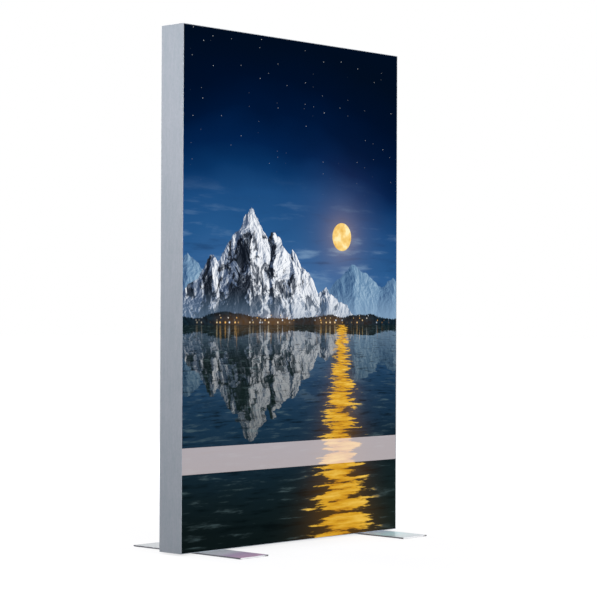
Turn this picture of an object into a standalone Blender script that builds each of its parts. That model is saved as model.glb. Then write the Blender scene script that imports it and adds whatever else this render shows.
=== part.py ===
"""Free-standing double-sided lightbox.

A mitred aluminium frame stands on two steel foot plates. A printed fabric with a silicone edge is
pressed into the groove round each face. Inside are LED bars on both uprights, a crossbar, an LED
driver with its leads, and a mains inlet with a rocker switch in the right upright.

Metres, +Z up. The front face looks along -Y. The origin is on the floor under the frame's middle.
"""

import math

import bmesh
import bpy
from mathutils import Matrix, Vector
from mathutils.geometry import tessellate_polygon

# The whole frame
FRAME_WIDTH = 1.250
FRAME_HEIGHT = 2.000
FRAME_DEPTH = 0.120

# Room between pieces that touch, and how far a cutter runs past what it cuts
GAP = 0.0003
OVERRUN = 0.002

# The extrusion of the frame, the same on all four sides
PROFILE_WIDTH = 0.032
WALL = 0.002
EDGE_CHAMFER = 0.0004
GROOVE_WIDTH = 0.004
GROOVE_DEPTH = 0.015
TIP_SETBACK = 0.001
TIP_CHAMFER = 0.0005
CHANNEL_WIDTH = 0.028
SLOT_WIDTH = 0.018

# The printed fabrics and their silicone edges
FABRIC_THICKNESS = 0.0006
SILICONE_THICKNESS = 0.003

# The corner brackets and the set screws that clamp them
BRACKET_LEG = 0.080
BRACKET_THICKNESS = 0.010
SET_SCREW_RADIUS = 0.004
SET_SCREW_LENGTH = 0.025
SET_SCREW_PLACE = 0.058
SOCKET_KEY_RADIUS = 0.002
SOCKET_KEY_DEPTH = 0.004
ACCESS_CLEARANCE = 0.001

# The feet: a plate on two rubber strips, a countersunk bolt and a nut plate in the bottom rail
FOOT_INSET = 0.080
FOOT_WIDTH = 0.150
FOOT_REACH = 0.235
FOOT_THICKNESS = 0.005
FOOT_CORNER = 0.003
PAD_THICKNESS = 0.001
PAD_LENGTH = 0.025
PAD_MARGIN = 0.006
BOLT_RADIUS = 0.004
BOLT_HEAD_RADIUS = 0.008
BOLT_HEAD_HEIGHT = 0.0044
BOLT_TIP = 0.002
BOLT_KEY_RADIUS = 0.0028
BOLT_KEY_DEPTH = 0.0025
NUT_PLATE_LENGTH = 0.060
NUT_PLATE_THICKNESS = 0.008

# The LED bars: a board over the slot and a strip of lenses on it
BOARD_END_SPACE = 0.170
BOARD_WIDTH = 0.024
BOARD_THICKNESS = 0.002
BOARD_RIB_CLEARANCE = 0.0005
BOARD_SPACE = 0.014
LENS_STRIP_WIDTH = 0.020
LENS_STRIP_THICKNESS = 0.0015
LENS_STRIP_MARGIN = 0.004
LENS_PITCH = 0.072
LENS_RADIUS = 0.0085
LENS_HEIGHT = 0.006

# The crossbar and the twist-in sockets that hold its ends
CROSSBAR_RADIUS = 0.010
CROSSBAR_WALL = 0.0015
SOCKET_RADIUS = 0.016
SOCKET_FLANGE = 0.004
SOCKET_CUP_WALL = 0.003
SOCKET_CUP_DEPTH = 0.020
SOCKET_FOOT_LENGTH = 0.015
SOCKET_HEAD_THICKNESS = 0.004

# The LED driver on the bottom rail and its two screws
DRIVER_INSET = 0.315
DRIVER_LENGTH = 0.180
DRIVER_WIDTH = 0.050
DRIVER_HEIGHT = 0.030
DRIVER_EDGE = 0.002
EAR_LENGTH = 0.014
EAR_THICKNESS = 0.002
EAR_OVERLAP = 0.004
EAR_SCREW_OFFSET = 0.0195
EAR_SCREW_RADIUS = 0.002
EAR_SCREW_LENGTH = 0.008
EAR_SCREW_HEAD_RADIUS = 0.004
EAR_SCREW_HEAD_HEIGHT = 0.0024

# The mains inlet and its rocker switch, which slide in behind a window in the right upright
INLET_PLACE = 0.078
MODULE_LENGTH = 0.068
MODULE_DEPTH = 0.020
FACE_WIDTH = 0.027
FACE_LENGTH = 0.046
FACE_SETBACK = 0.0003
SHROUD_WIDTH = 0.024
SHROUD_HEIGHT = 0.0165
SHROUD_CORNER = 0.0045
SHROUD_DEPTH = 0.015
SHROUD_DROP = 0.0115
INLET_SCREW_SPREAD = 0.0285
INLET_SCREW_RADIUS = 0.0015
INLET_SCREW_LENGTH = 0.010
INLET_SCREW_HEAD_RADIUS = 0.0027
INLET_SCREW_HEAD_HEIGHT = 0.0014
INLET_SCREW_KEY_RADIUS = 0.0011
INLET_SCREW_KEY_DEPTH = 0.0009
PIN_WIDTH = 0.002
PIN_HEIGHT = 0.004
PIN_SETBACK = 0.001
PIN_ROOT = 0.003
PIN_SPREAD = 0.007
PIN_OFFSET = 0.002
ROCKER_RISE = 0.0135
ROCKER_WIDTH = 0.017
ROCKER_HALF_LENGTH = 0.006
ROCKER_FACE = 0.003
ROCKER_BACK = 0.003
ROCKER_BACK_SHARE = 0.55
ROCKER_TILT = math.radians(10)
TRUNNION_RADIUS = 0.0012
TRUNNION_LENGTH = 0.001

# The leads, where they run, and the two clips that hold them on the bottom rail
MAINS_LEAD_RADIUS = 0.0035
LED_LEAD_RADIUS = 0.0025
LEAD_DEPTH = 0.015
RAIL_LEAD_DEPTH = 0.020
LEAD_EXIT_OFFSET = 0.005
LEAD_BEND = 0.014
CLIP_LENGTH = 0.008
CLIP_WALL = 0.0015
CLIP_FOOT = 0.005
CLIP_INSET = 0.145

# How finely round pieces are made
BOLT_SIDES = 32
ROUND_SIDES = 20
LENS_SIDES = 12
LENS_RINGS = 3
CORNER_STEPS = 3
CLIP_STEPS = 6
LEAD_STEPS = 4
SMOOTH_ANGLE = math.radians(35)

# Places that several pieces share
FRAME_BASE = PAD_THICKNESS + GAP + FOOT_THICKNESS + GAP
MIDDLE = FRAME_BASE + FRAME_HEIGHT / 2
FACE = FRAME_DEPTH / 2
GROOVE_INNER = WALL + GROOVE_WIDTH
GROOVE_FLOOR = FACE - GROOVE_DEPTH
GROOVE_TIP = FACE - TIP_SETBACK
SHELF = GROOVE_FLOOR - WALL
LIP = PROFILE_WIDTH - WALL
CHAMBER_NEAR = CHANNEL_WIDTH / 2 + WALL
CHAMBER_FAR = SHELF - WALL
CHAMBER_CENTRE = (CHAMBER_NEAR + CHAMBER_FAR) / 2
SEAT = PROFILE_WIDTH + GAP
FOOT_PLACE = FRAME_WIDTH / 2 - FOOT_INSET - FOOT_WIDTH / 2
DRIVER_PLACE = FRAME_WIDTH / 2 - DRIVER_INSET
CLIP_PLACE = FRAME_WIDTH / 2 - CLIP_INSET
INLET_HEIGHT = INLET_PLACE - FRAME_HEIGHT / 2
LED_LEAD_SIDE = LEAD_EXIT_OFFSET + 2 * LEAD_BEND
MAINS_LEAD_SIDE = (SLOT_WIDTH / 2 + SHELF) / 2
HALF_LENGTH = {
    "left": FRAME_HEIGHT / 2,
    "right": FRAME_HEIGHT / 2,
    "bottom": FRAME_WIDTH / 2,
    "top": FRAME_WIDTH / 2,
}
SIGN = {"left": -1, "right": 1, "bottom": -1, "top": 1, "front": -1, "rear": 1}


# Helpers


def side_place(side):
    """Maps (inward, depth, along) of one side of the frame to the model's axes.

    Inward is measured from the side's outer face, and along from the side's middle.
    """
    sign = SIGN[side]
    if side in ("left", "right"):
        return lambda inward, depth, along: Vector(
            (sign * (FRAME_WIDTH / 2 - inward), depth, MIDDLE + along)
        )
    return lambda inward, depth, along: Vector(
        (along, depth, MIDDLE + sign * (FRAME_HEIGHT / 2 - inward))
    )


def finish_paint(name, colour, roughness, metallic):
    paint = bpy.data.materials.new(name)
    paint.use_nodes = True
    shader = paint.node_tree.nodes["Principled BSDF"]
    shader.inputs["Base Color"].default_value = (*colour, 1)
    shader.inputs["Roughness"].default_value = roughness
    shader.inputs["Metallic"].default_value = metallic
    paint.diffuse_color = (*colour, 1)
    return paint


def piece(name, shape, paint, pivot=None, smooth=False):
    """Makes an object from a bmesh in the model's axes, with its origin at the pivot or at its own middle."""
    bmesh.ops.recalc_face_normals(shape, faces=shape.faces)
    corners = [vert.co for vert in shape.verts]
    low = Vector(min(corner[i] for corner in corners) for i in range(3))
    high = Vector(max(corner[i] for corner in corners) for i in range(3))
    origin = (low + high) / 2 if pivot is None else pivot.location.copy()
    bmesh.ops.translate(shape, verts=shape.verts, vec=-origin)
    mesh = bpy.data.meshes.new(name)
    shape.to_mesh(mesh)
    shape.free()
    if smooth:
        mesh.shade_smooth()
        mesh.set_sharp_from_angle(angle=SMOOTH_ANGLE)
    if paint:
        mesh.materials.append(paint)
    made = bpy.data.objects.new(name, mesh)
    bpy.context.scene.collection.objects.link(made)
    if pivot is None:
        made.location = origin
    else:
        made.parent = pivot
    return made


def pivot_at(name, place):
    """An empty on a joint's axis, which carries the pieces that move together."""
    empty = bpy.data.objects.new(name, None)
    bpy.context.scene.collection.objects.link(empty)
    empty.location = place
    return empty


def use_boolean(target, operand_name, shape, operation):
    operand = piece(operand_name, shape, None)
    operand.hide_render = True
    operand.display_type = "WIRE"
    boolean = target.modifiers.new(operand_name, "BOOLEAN")
    boolean.operation = operation
    boolean.object = operand


def cut(target, shape, operand_name):
    use_boolean(target, operand_name, shape, "DIFFERENCE")


def join(target, shape, operand_name):
    use_boolean(target, operand_name, shape, "UNION")


def swept(loops, ends, place):
    """A solid whose section is the first loop less the others.

    ends(a, b) gives where each point of the section starts and stops along the solid.
    """
    shape = bmesh.new()
    points = [point for loop in loops for point in loop]
    flat = [[Vector((*point, 0)) for point in loop] for loop in loops]
    starts = [shape.verts.new(place(a, b, ends(a, b)[0])) for a, b in points]
    stops = [shape.verts.new(place(a, b, ends(a, b)[1])) for a, b in points]
    for triangle in tessellate_polygon(flat):
        shape.faces.new([starts[i] for i in triangle])
        shape.faces.new([stops[i] for i in triangle])
    first = 0
    for loop in loops:
        count = len(loop)
        for i in range(count):
            a, b = first + i, first + (i + 1) % count
            shape.faces.new((starts[a], starts[b], stops[b], stops[a]))
        first += count
    return shape


def block(low, high):
    """A box between two opposite corners, in the model's axes."""
    shape = bmesh.new()
    low, high = Vector(low), Vector(high)
    size = Matrix.Diagonal((*(high - low), 1))
    bmesh.ops.create_cube(shape, size=1, matrix=Matrix.Translation((low + high) / 2) @ size)
    return shape


def placed_block(place, low, high):
    """A box whose opposite corners are (inward, depth, along) of one side of the frame."""
    first, second = place(*low), place(*high)
    ordered = [sorted(pair) for pair in zip(first, second)]
    return block([pair[0] for pair in ordered], [pair[1] for pair in ordered])


def rectangle(low, high):
    return [(low[0], low[1]), (high[0], low[1]), (high[0], high[1]), (low[0], high[1])]


def turned(outline, sides, start, axis, ring=False):
    """Turns an outline of (radius, height) about an axis that begins at start.

    A ring's outline closes on itself.
    """
    shape = bmesh.new()
    turn = Vector(axis).to_track_quat("Z", "Y")
    rings = []
    for radius, height in outline:
        angles = [0] if radius == 0 else [math.tau * i / sides for i in range(sides)]
        around = [Vector((radius * math.cos(a), radius * math.sin(a), height)) for a in angles]
        rings.append([shape.verts.new(Vector(start) + turn @ point) for point in around])
    pairs = list(zip(rings, rings[1:])) + ([(rings[-1], rings[0])] if ring else [])
    for lower, upper in pairs:
        for i in range(sides):
            j = i + 1
            corners = [
                lower[i % len(lower)],
                lower[j % len(lower)],
                upper[j % len(upper)],
                upper[i % len(upper)],
            ]
            shape.faces.new(list(dict.fromkeys(corners)))
    return shape


def rod(radius, start, stop, sides):
    """A plain cylinder from start to stop."""
    along = Vector(stop) - Vector(start)
    outline = [(0, 0), (radius, 0), (radius, along.length), (0, along.length)]
    return turned(outline, sides, start, along)


def countersunk_screw(head, shank, key, start, axis):
    """A countersunk screw from its head's face on.

    The head, the shank and the key hole are (radius, height), measured from that face.
    """
    outline = [
        (0, key[1]),
        key,
        (key[0], 0),
        (head[0], 0),
        (shank[0], head[1]),
        shank,
        (0, shank[1]),
    ]
    return turned(outline, BOLT_SIDES, start, axis)


def countersunk_hole(head, shank, start, axis):
    """The cutter for such a screw's hole, which runs right through to the shank's end."""
    wide, narrow = head[0] + GAP, shank[0] + GAP
    outline = [
        (0, -OVERRUN),
        (wide, -OVERRUN),
        (wide, 0),
        (narrow, head[1]),
        (narrow, shank[1]),
        (0, shank[1]),
    ]
    return turned(outline, BOLT_SIDES, start, axis)


def together(shapes):
    """Puts several closed shapes that don't meet into one bmesh, for one cutter."""
    whole = bmesh.new()
    for shape in shapes:
        held = bpy.data.meshes.new("held")
        shape.to_mesh(held)
        shape.free()
        whole.from_mesh(held)
        bpy.data.meshes.remove(held)
    return whole


def lead(name, route, radius, paint):
    """A round lead along a smooth curve through the route's points."""
    line = bpy.data.curves.new(name, "CURVE")
    line.dimensions = "3D"
    line.bevel_depth = radius
    line.bevel_resolution = 2
    line.use_fill_caps = True
    line.materials.append(paint)
    points = smooth_points([Vector(point) for point in route])
    spline = line.splines.new("POLY")
    spline.points.add(len(points) - 1)
    for target, point in zip(spline.points, points):
        target.co = (*point, 1)
    made = bpy.data.objects.new(name, line)
    bpy.context.scene.collection.objects.link(made)
    return made


def smooth_points(route):
    """Points on a curve through the route, a few between each two of its points.

    The curve never swings past a point of the route on any axis, so a straight run stays straight.
    """
    lengths = [(stop - start).length for start, stop in zip(route, route[1:])]
    slopes = [(b - a) / length for a, b, length in zip(route, route[1:], lengths)]
    turns = [slopes[0]]
    for before, after in zip(slopes, slopes[1:]):
        turns.append(Vector([even_slope(p, q) for p, q in zip(before, after)]))
    turns.append(slopes[-1])
    points = [route[0]]
    for i, length in enumerate(lengths):
        for step in range(1, LEAD_STEPS + 1):
            t = step / LEAD_STEPS
            rest = 1 - t
            points.append(
                (1 + 2 * t) * rest**2 * route[i]
                + t * rest**2 * length * turns[i]
                + (3 - 2 * t) * t**2 * route[i + 1]
                - rest * t**2 * length * turns[i + 1]
            )
    return points


def even_slope(before, after):
    """The harmonic mean of two slopes, or none where the line turns back."""
    return 2 * before * after / (before + after) if before * after > 0 else 0


# The frame


def extrusion_section():
    """The extrusion's outline and its two closed chambers, as (inward, depth)."""
    crest = GROOVE_INNER + WALL
    half = [
        (0, FACE - EDGE_CHAMFER),
        (EDGE_CHAMFER, FACE),
        (WALL, FACE),
        (WALL, GROOVE_FLOOR),
        (GROOVE_INNER, GROOVE_FLOOR),
        (GROOVE_INNER, GROOVE_TIP - TIP_CHAMFER),
        (GROOVE_INNER + TIP_CHAMFER, GROOVE_TIP),
        (crest - TIP_CHAMFER, GROOVE_TIP),
        (crest, GROOVE_TIP - TIP_CHAMFER),
        (crest, SHELF),
        (PROFILE_WIDTH, SHELF),
        (PROFILE_WIDTH, SLOT_WIDTH / 2),
        (LIP, SLOT_WIDTH / 2),
        (LIP, CHANNEL_WIDTH / 2),
        (WALL, CHANNEL_WIDTH / 2),
    ]
    outline = half + [(a, -b) for a, b in reversed(half)]
    chamber = rectangle((WALL, CHAMBER_NEAR), (LIP, CHAMBER_FAR))
    return [outline, chamber, [(a, -b) for a, b in chamber]]


def mitred(side, loops):
    """A bar along one side of the frame, cut at 45 degrees at both ends."""
    ease = GAP / math.sqrt(2)
    half = HALF_LENGTH[side] - ease
    return swept(loops, lambda a, b: (a - half, half - a), side_place(side))


def access_holes(place):
    """Cutters for the holes in an upright's inner wall, through which the set screws are turned."""
    radius = SET_SCREW_RADIUS + ACCESS_CLEARANCE
    shapes = []
    for along in (SET_SCREW_PLACE - FRAME_HEIGHT / 2, FRAME_HEIGHT / 2 - SET_SCREW_PLACE):
        for depth in (-CHAMBER_CENTRE, CHAMBER_CENTRE):
            start = place(LIP - OVERRUN, depth, along)
            stop = place(PROFILE_WIDTH + OVERRUN, depth, along)
            shapes.append(rod(radius, start, stop, ROUND_SIDES))
    return shapes


def inlet_window(place):
    """Cutter for the window in the right upright's outer wall."""
    half_width = FACE_WIDTH / 2 + GAP
    half_length = FACE_LENGTH / 2 + GAP
    return placed_block(
        place,
        (-OVERRUN, -half_width, INLET_HEIGHT - half_length),
        (WALL + OVERRUN / 2, half_width, INLET_HEIGHT + half_length),
    )


def inlet_screw_starts(place):
    """The middles of the faces of the inlet's two screws."""
    return {
        "upper": place(0, 0, INLET_HEIGHT + INLET_SCREW_SPREAD),
        "lower": place(0, 0, INLET_HEIGHT - INLET_SCREW_SPREAD),
    }


def inlet_screw_holes(place):
    """Cutters for the inlet's screws, in the upright's wall and in the inlet's body behind it."""
    head = (INLET_SCREW_HEAD_RADIUS, INLET_SCREW_HEAD_HEIGHT)
    shank = (INLET_SCREW_RADIUS, INLET_SCREW_LENGTH + OVERRUN)
    inward = place(1, 0, 0) - place(0, 0, 0)
    return [
        countersunk_hole(head, shank, start, inward)
        for start in inlet_screw_starts(place).values()
    ]


def rail_holes(place):
    """Cutters for the bottom rail: a hole for each foot bolt and one for each driver screw."""
    bolt_hole = BOLT_RADIUS + GAP
    shapes = []
    for along in (-FOOT_PLACE, FOOT_PLACE):
        start = place(-OVERRUN, 0, along)
        stop = place(WALL + OVERRUN, 0, along)
        shapes.append(rod(bolt_hole, start, stop, BOLT_SIDES))
    for along, depth in ear_screw_places():
        start = place(LIP - OVERRUN, depth, along)
        stop = place(PROFILE_WIDTH + OVERRUN, depth, along)
        shapes.append(rod(EAR_SCREW_RADIUS + GAP, start, stop, ROUND_SIDES))
    return shapes


def build_frame(paint):
    names = {
        "left": "left_upright",
        "right": "right_upright",
        "bottom": "bottom_rail",
        "top": "top_rail",
    }
    section = extrusion_section()
    for side, name in names.items():
        bar = piece(name, mitred(side, section), paint)
        place = side_place(side)
        if side == "left":
            cut(bar, together(access_holes(place)), "left_upright_holes")
        if side == "right":
            holes = [*access_holes(place), inlet_window(place), *inlet_screw_holes(place)]
            cut(bar, together(holes), "right_upright_holes")
        if side == "bottom":
            cut(bar, together(rail_holes(place)), "bottom_rail_holes")


def build_corner(side, end, face, paint):
    """One bracket in the chambers of two extrusions, and the set screw that clamps it in the upright."""
    outer = LIP - GAP - BRACKET_THICKNESS
    inner = LIP - GAP
    angle = [
        (outer, outer),
        (BRACKET_LEG, outer),
        (BRACKET_LEG, inner),
        (inner, inner),
        (inner, BRACKET_LEG),
        (outer, BRACKET_LEG),
    ]
    across, up, deep = SIGN[side], SIGN[end], SIGN[face]

    def place(inward, rise, depth):
        x = across * (FRAME_WIDTH / 2 - inward)
        return Vector((x, deep * depth, MIDDLE + up * (FRAME_HEIGHT / 2 - rise)))

    span = (CHAMBER_NEAR + GAP, CHAMBER_FAR - GAP)
    name = f"{end}_{side}_{face}"
    bracket = piece(f"corner_bracket_{name}", swept([angle], lambda a, b: span, place), paint)
    start = place(WALL + GAP, SET_SCREW_PLACE, CHAMBER_CENTRE)
    stop = place(PROFILE_WIDTH, SET_SCREW_PLACE, CHAMBER_CENTRE)
    hole = rod(SET_SCREW_RADIUS + GAP, start, stop, ROUND_SIDES)
    cut(bracket, hole, f"thread_{name}")
    head = SET_SCREW_LENGTH
    outline = [
        (0, 0),
        (SET_SCREW_RADIUS, 0),
        (SET_SCREW_RADIUS, head),
        (SOCKET_KEY_RADIUS, head),
        (SOCKET_KEY_RADIUS, head - SOCKET_KEY_DEPTH),
        (0, head - SOCKET_KEY_DEPTH),
    ]
    screw = turned(outline, LENS_SIDES, start, stop - start)
    piece(f"set_screw_{name}", screw, paint, smooth=True)


# The fabrics


def build_graphic(face, fabric_paint, silicone_paint):
    """A stretched fabric and the silicone strip sewn round its edge. They come off the frame together."""
    deep = SIGN[face]
    pivot = pivot_at(f"{face}_graphic", (0, deep * FACE, MIDDLE))
    back = GROOVE_TIP + GAP
    half_width = FRAME_WIDTH / 2 - WALL - GAP
    half_height = FRAME_HEIGHT / 2 - WALL - GAP
    depths = sorted((deep * back, deep * (back + FABRIC_THICKNESS)))
    sheet = block(
        (-half_width, depths[0], MIDDLE - half_height),
        (half_width, depths[1], MIDDLE + half_height),
    )
    piece(f"{face}_fabric", sheet, fabric_paint, pivot)
    ends = sorted((deep * (GROOVE_FLOOR + GAP), deep * (back - GAP)))
    near = WALL + (GROOVE_WIDTH - SILICONE_THICKNESS) / 2
    loops = []
    for inward in (near, near + SILICONE_THICKNESS):
        across, up = FRAME_WIDTH / 2 - inward, FRAME_HEIGHT / 2 - inward
        loops.append(rectangle((-across, -up), (across, up)))
    strip = swept(loops, lambda a, b: ends, lambda a, b, c: Vector((a, c, MIDDLE + b)))
    piece(f"{face}_silicone_edge", strip, silicone_paint, pivot)


# The feet


def rounded_rectangle(half_width, half_length, radius):
    points = []
    for quarter, (across, along) in enumerate(((1, 1), (-1, 1), (-1, -1), (1, -1))):
        centre = (across * (half_width - radius), along * (half_length - radius))
        for step in range(CORNER_STEPS + 1):
            angle = math.pi / 2 * (quarter + step / CORNER_STEPS)
            points.append(
                (centre[0] + radius * math.cos(angle), centre[1] + radius * math.sin(angle))
            )
    return points


def build_foot(side, steel, rubber, zinc):
    """A foot plate that swivels on its bolt, the bolt, and the nut plate that it screws into."""
    x = SIGN[side] * FOOT_PLACE
    pivot = pivot_at(f"{side}_foot", (x, 0, 0))
    half_length = FRAME_DEPTH / 2 + FOOT_REACH
    under = PAD_THICKNESS + GAP
    top = under + FOOT_THICKNESS
    outline = rounded_rectangle(FOOT_WIDTH / 2, half_length, FOOT_CORNER)
    shape = swept([outline], lambda a, b: (under, top), lambda a, b, c: Vector((x + a, b, c)))
    plate = piece(f"{side}_foot_plate", shape, steel, pivot)
    head = (BOLT_HEAD_RADIUS, BOLT_HEAD_HEIGHT)
    through = (BOLT_RADIUS, FOOT_THICKNESS + OVERRUN)
    hole = countersunk_hole(head, through, (x, 0, under), (0, 0, 1))
    cut(plate, hole, f"{side}_countersink")
    for face in ("front", "rear"):
        far = half_length - PAD_MARGIN
        depths = sorted((SIGN[face] * far, SIGN[face] * (far - PAD_LENGTH)))
        half_width = FOOT_WIDTH / 2 - PAD_MARGIN
        pad = block((x - half_width, depths[0], 0), (x + half_width, depths[1], PAD_THICKNESS))
        piece(f"{side}_foot_pad_{face}", pad, rubber, pivot)
    nut_low = FRAME_BASE + WALL + GAP
    nut_high = nut_low + NUT_PLATE_THICKNESS
    half_width = CHANNEL_WIDTH / 2 - GAP
    nut = block(
        (x - NUT_PLATE_LENGTH / 2, -half_width, nut_low),
        (x + NUT_PLATE_LENGTH / 2, half_width, nut_high),
    )
    nut = piece(f"{side}_foot_nut_plate", nut, zinc)
    thread = rod(
        BOLT_RADIUS + GAP, (x, 0, nut_low - OVERRUN), (x, 0, nut_high + OVERRUN), BOLT_SIDES
    )
    cut(nut, thread, f"{side}_foot_thread")
    shank = (BOLT_RADIUS, nut_high + BOLT_TIP - under)
    key = (BOLT_KEY_RADIUS, BOLT_KEY_DEPTH)
    bolt = countersunk_screw(head, shank, key, (x, 0, under), (0, 0, 1))
    piece(f"{side}_foot_bolt", bolt, zinc, smooth=True)


# The LED bars


def board_span(half):
    """Where the upper or the lower board begins and ends along its upright, next to the crossbar's socket."""
    near = SOCKET_RADIUS + BOARD_SPACE
    far = FRAME_HEIGHT / 2 - BOARD_END_SPACE
    return (near, far) if half == "upper" else (-far, -near)


def build_led_bar(side, half, board_paint, lens_paint):
    """One LED board over the upright's slot, and the strip of lenses on it."""
    place = side_place(side)
    low, high = board_span(half)
    rib = SLOT_WIDTH / 2 - BOARD_RIB_CLEARANCE
    board_top = SEAT + BOARD_THICKNESS
    section = [
        (SEAT, -BOARD_WIDTH / 2),
        (board_top, -BOARD_WIDTH / 2),
        (board_top, BOARD_WIDTH / 2),
        (SEAT, BOARD_WIDTH / 2),
        (SEAT, rib),
        (LIP, rib),
        (LIP, -rib),
        (SEAT, -rib),
    ]
    name = f"{side}_{half}"
    piece(f"led_board_{name}", swept([section], lambda a, b: (low, high), place), board_paint)
    strip_low = board_top + GAP
    strip_high = strip_low + LENS_STRIP_THICKNESS
    ends = (low + LENS_STRIP_MARGIN, high - LENS_STRIP_MARGIN)
    section = rectangle(
        (strip_low, -LENS_STRIP_WIDTH / 2), (strip_high, LENS_STRIP_WIDTH / 2)
    )
    strip = piece(
        f"led_lenses_{name}",
        swept([section], lambda a, b: ends, place),
        lens_paint,
        smooth=True,
    )
    count = int((ends[1] - ends[0]) / LENS_PITCH)
    first = (ends[0] + ends[1]) / 2 - LENS_PITCH * (count - 1) / 2
    inward = place(1, 0, 0) - place(0, 0, 0)
    root = strip_low + LENS_STRIP_THICKNESS / 2
    tall = strip_high + LENS_HEIGHT - root
    outline = [(0, 0)]
    for ring in range(LENS_RINGS):
        angle = math.pi / 2 * ring / LENS_RINGS
        outline.append((LENS_RADIUS * math.cos(angle), tall * math.sin(angle)))
    outline.append((0, tall))
    domes = [
        turned(outline, LENS_SIDES, place(root, 0, first + LENS_PITCH * i), inward)
        for i in range(count)
    ]
    join(strip, together(domes), f"lens_domes_{name}")


# The crossbar


def build_crossbar(bar_paint, socket_paint):
    """A tube between the uprights that keeps them from bowing in, held in a twist-in socket at each end."""
    cup_floor = SEAT + SOCKET_FLANGE
    reach = FRAME_WIDTH / 2 - cup_floor - GAP
    inner = CROSSBAR_RADIUS - CROSSBAR_WALL
    tube = [(CROSSBAR_RADIUS, 0), (CROSSBAR_RADIUS, 2 * reach), (inner, 2 * reach), (inner, 0)]
    shape = turned(tube, ROUND_SIDES, (-reach, 0, MIDDLE), (1, 0, 0), ring=True)
    piece("crossbar", shape, bar_paint, smooth=True)
    bore = CROSSBAR_RADIUS + GAP
    cup = bore + SOCKET_CUP_WALL
    rim = SOCKET_FLANGE + SOCKET_CUP_DEPTH
    outline = [
        (0, 0),
        (SOCKET_RADIUS, 0),
        (SOCKET_RADIUS, SOCKET_FLANGE),
        (cup, SOCKET_FLANGE),
        (cup, rim),
        (bore, rim),
        (bore, SOCKET_FLANGE),
        (0, SOCKET_FLANGE),
    ]
    for side in ("left", "right"):
        place = side_place(side)
        inward = place(1, 0, 0) - place(0, 0, 0)
        socket = piece(
            f"crossbar_socket_{side}",
            turned(outline, ROUND_SIDES, place(SEAT, 0, 0), inward),
            socket_paint,
            smooth=True,
        )
        head_top = LIP - GAP
        head_low = head_top - SOCKET_HEAD_THICKNESS
        neck = SLOT_WIDTH / 2 - BOARD_RIB_CLEARANCE
        wing = CHANNEL_WIDTH / 2 - GAP
        half_length = SOCKET_FOOT_LENGTH / 2
        section = [
            (head_low, -wing),
            (head_top, -wing),
            (head_top, -neck),
            (SEAT + SOCKET_FLANGE / 2, -neck),
            (SEAT + SOCKET_FLANGE / 2, neck),
            (head_top, neck),
            (head_top, wing),
            (head_low, wing),
        ]
        foot = swept([section], lambda a, b: (-half_length, half_length), place)
        join(socket, foot, f"twist_foot_{side}")


# The driver


def ear_screw_places():
    """Where the driver's two screws stand on the bottom rail, as (along, depth)."""
    reach = DRIVER_LENGTH / 2 + EAR_LENGTH / 2
    return [
        (DRIVER_PLACE - reach, -EAR_SCREW_OFFSET),
        (DRIVER_PLACE + reach, EAR_SCREW_OFFSET),
    ]


def build_driver(case_paint, zinc):
    """The LED driver's case with a mounting ear at each end, and its screws."""
    place = side_place("bottom")
    half_width = DRIVER_WIDTH / 2
    half_case = DRIVER_LENGTH / 2
    case = swept(
        [
            [
                (SEAT, -half_width),
                (SEAT + DRIVER_HEIGHT - DRIVER_EDGE, -half_width),
                (SEAT + DRIVER_HEIGHT, DRIVER_EDGE - half_width),
                (SEAT + DRIVER_HEIGHT, half_width - DRIVER_EDGE),
                (SEAT + DRIVER_HEIGHT - DRIVER_EDGE, half_width),
                (SEAT, half_width),
            ]
        ],
        lambda a, b: (DRIVER_PLACE - half_case, DRIVER_PLACE + half_case),
        place,
    )
    driver = piece("led_driver", case, case_paint)
    ear_top = SEAT + EAR_THICKNESS
    for hand, low, high in (
        ("left", -half_case - EAR_LENGTH, -half_case + EAR_OVERLAP),
        ("right", half_case - EAR_OVERLAP, half_case + EAR_LENGTH),
    ):
        ear = placed_block(
            place,
            (SEAT, -half_width, DRIVER_PLACE + low),
            (ear_top, half_width, DRIVER_PLACE + high),
        )
        join(driver, ear, f"driver_ear_{hand}")
    holes = []
    for hand, (along, depth) in zip(("left", "right"), ear_screw_places()):
        start = place(SEAT - OVERRUN, depth, along)
        stop = place(ear_top + OVERRUN, depth, along)
        holes.append(rod(EAR_SCREW_RADIUS + GAP, start, stop, ROUND_SIDES))
        under_head = ear_top + GAP
        outline = [
            (0, -EAR_SCREW_LENGTH),
            (EAR_SCREW_RADIUS, -EAR_SCREW_LENGTH),
            (EAR_SCREW_RADIUS, 0),
            (EAR_SCREW_HEAD_RADIUS, 0),
            (EAR_SCREW_HEAD_RADIUS, EAR_SCREW_HEAD_HEIGHT / 2),
            (EAR_SCREW_RADIUS, EAR_SCREW_HEAD_HEIGHT),
            (0, EAR_SCREW_HEAD_HEIGHT),
        ]
        screw = turned(outline, ROUND_SIDES, place(under_head, depth, along), (0, 0, 1))
        piece(f"driver_screw_{hand}", screw, zinc, smooth=True)
    cut(driver, together(holes), "driver_ear_holes")


# The inlet and its switch


def rocker_outline():
    """The rocker from the side, as (outwards, up) from its pivot. Its face is a shallow V."""
    dip = ROCKER_HALF_LENGTH * math.tan(ROCKER_TILT)
    back = ROCKER_HALF_LENGTH * ROCKER_BACK_SHARE
    return [
        (ROCKER_FACE, -ROCKER_HALF_LENGTH),
        (ROCKER_FACE - dip, 0),
        (ROCKER_FACE, ROCKER_HALF_LENGTH),
        (-ROCKER_BACK, back),
        (-ROCKER_BACK, -back),
    ]


def rocker_depth():
    """How far the rocker's pivot lies behind the inlet's face: its raised end is level with that face."""
    return ROCKER_FACE * math.cos(ROCKER_TILT) + ROCKER_HALF_LENGTH * math.sin(ROCKER_TILT)


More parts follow.
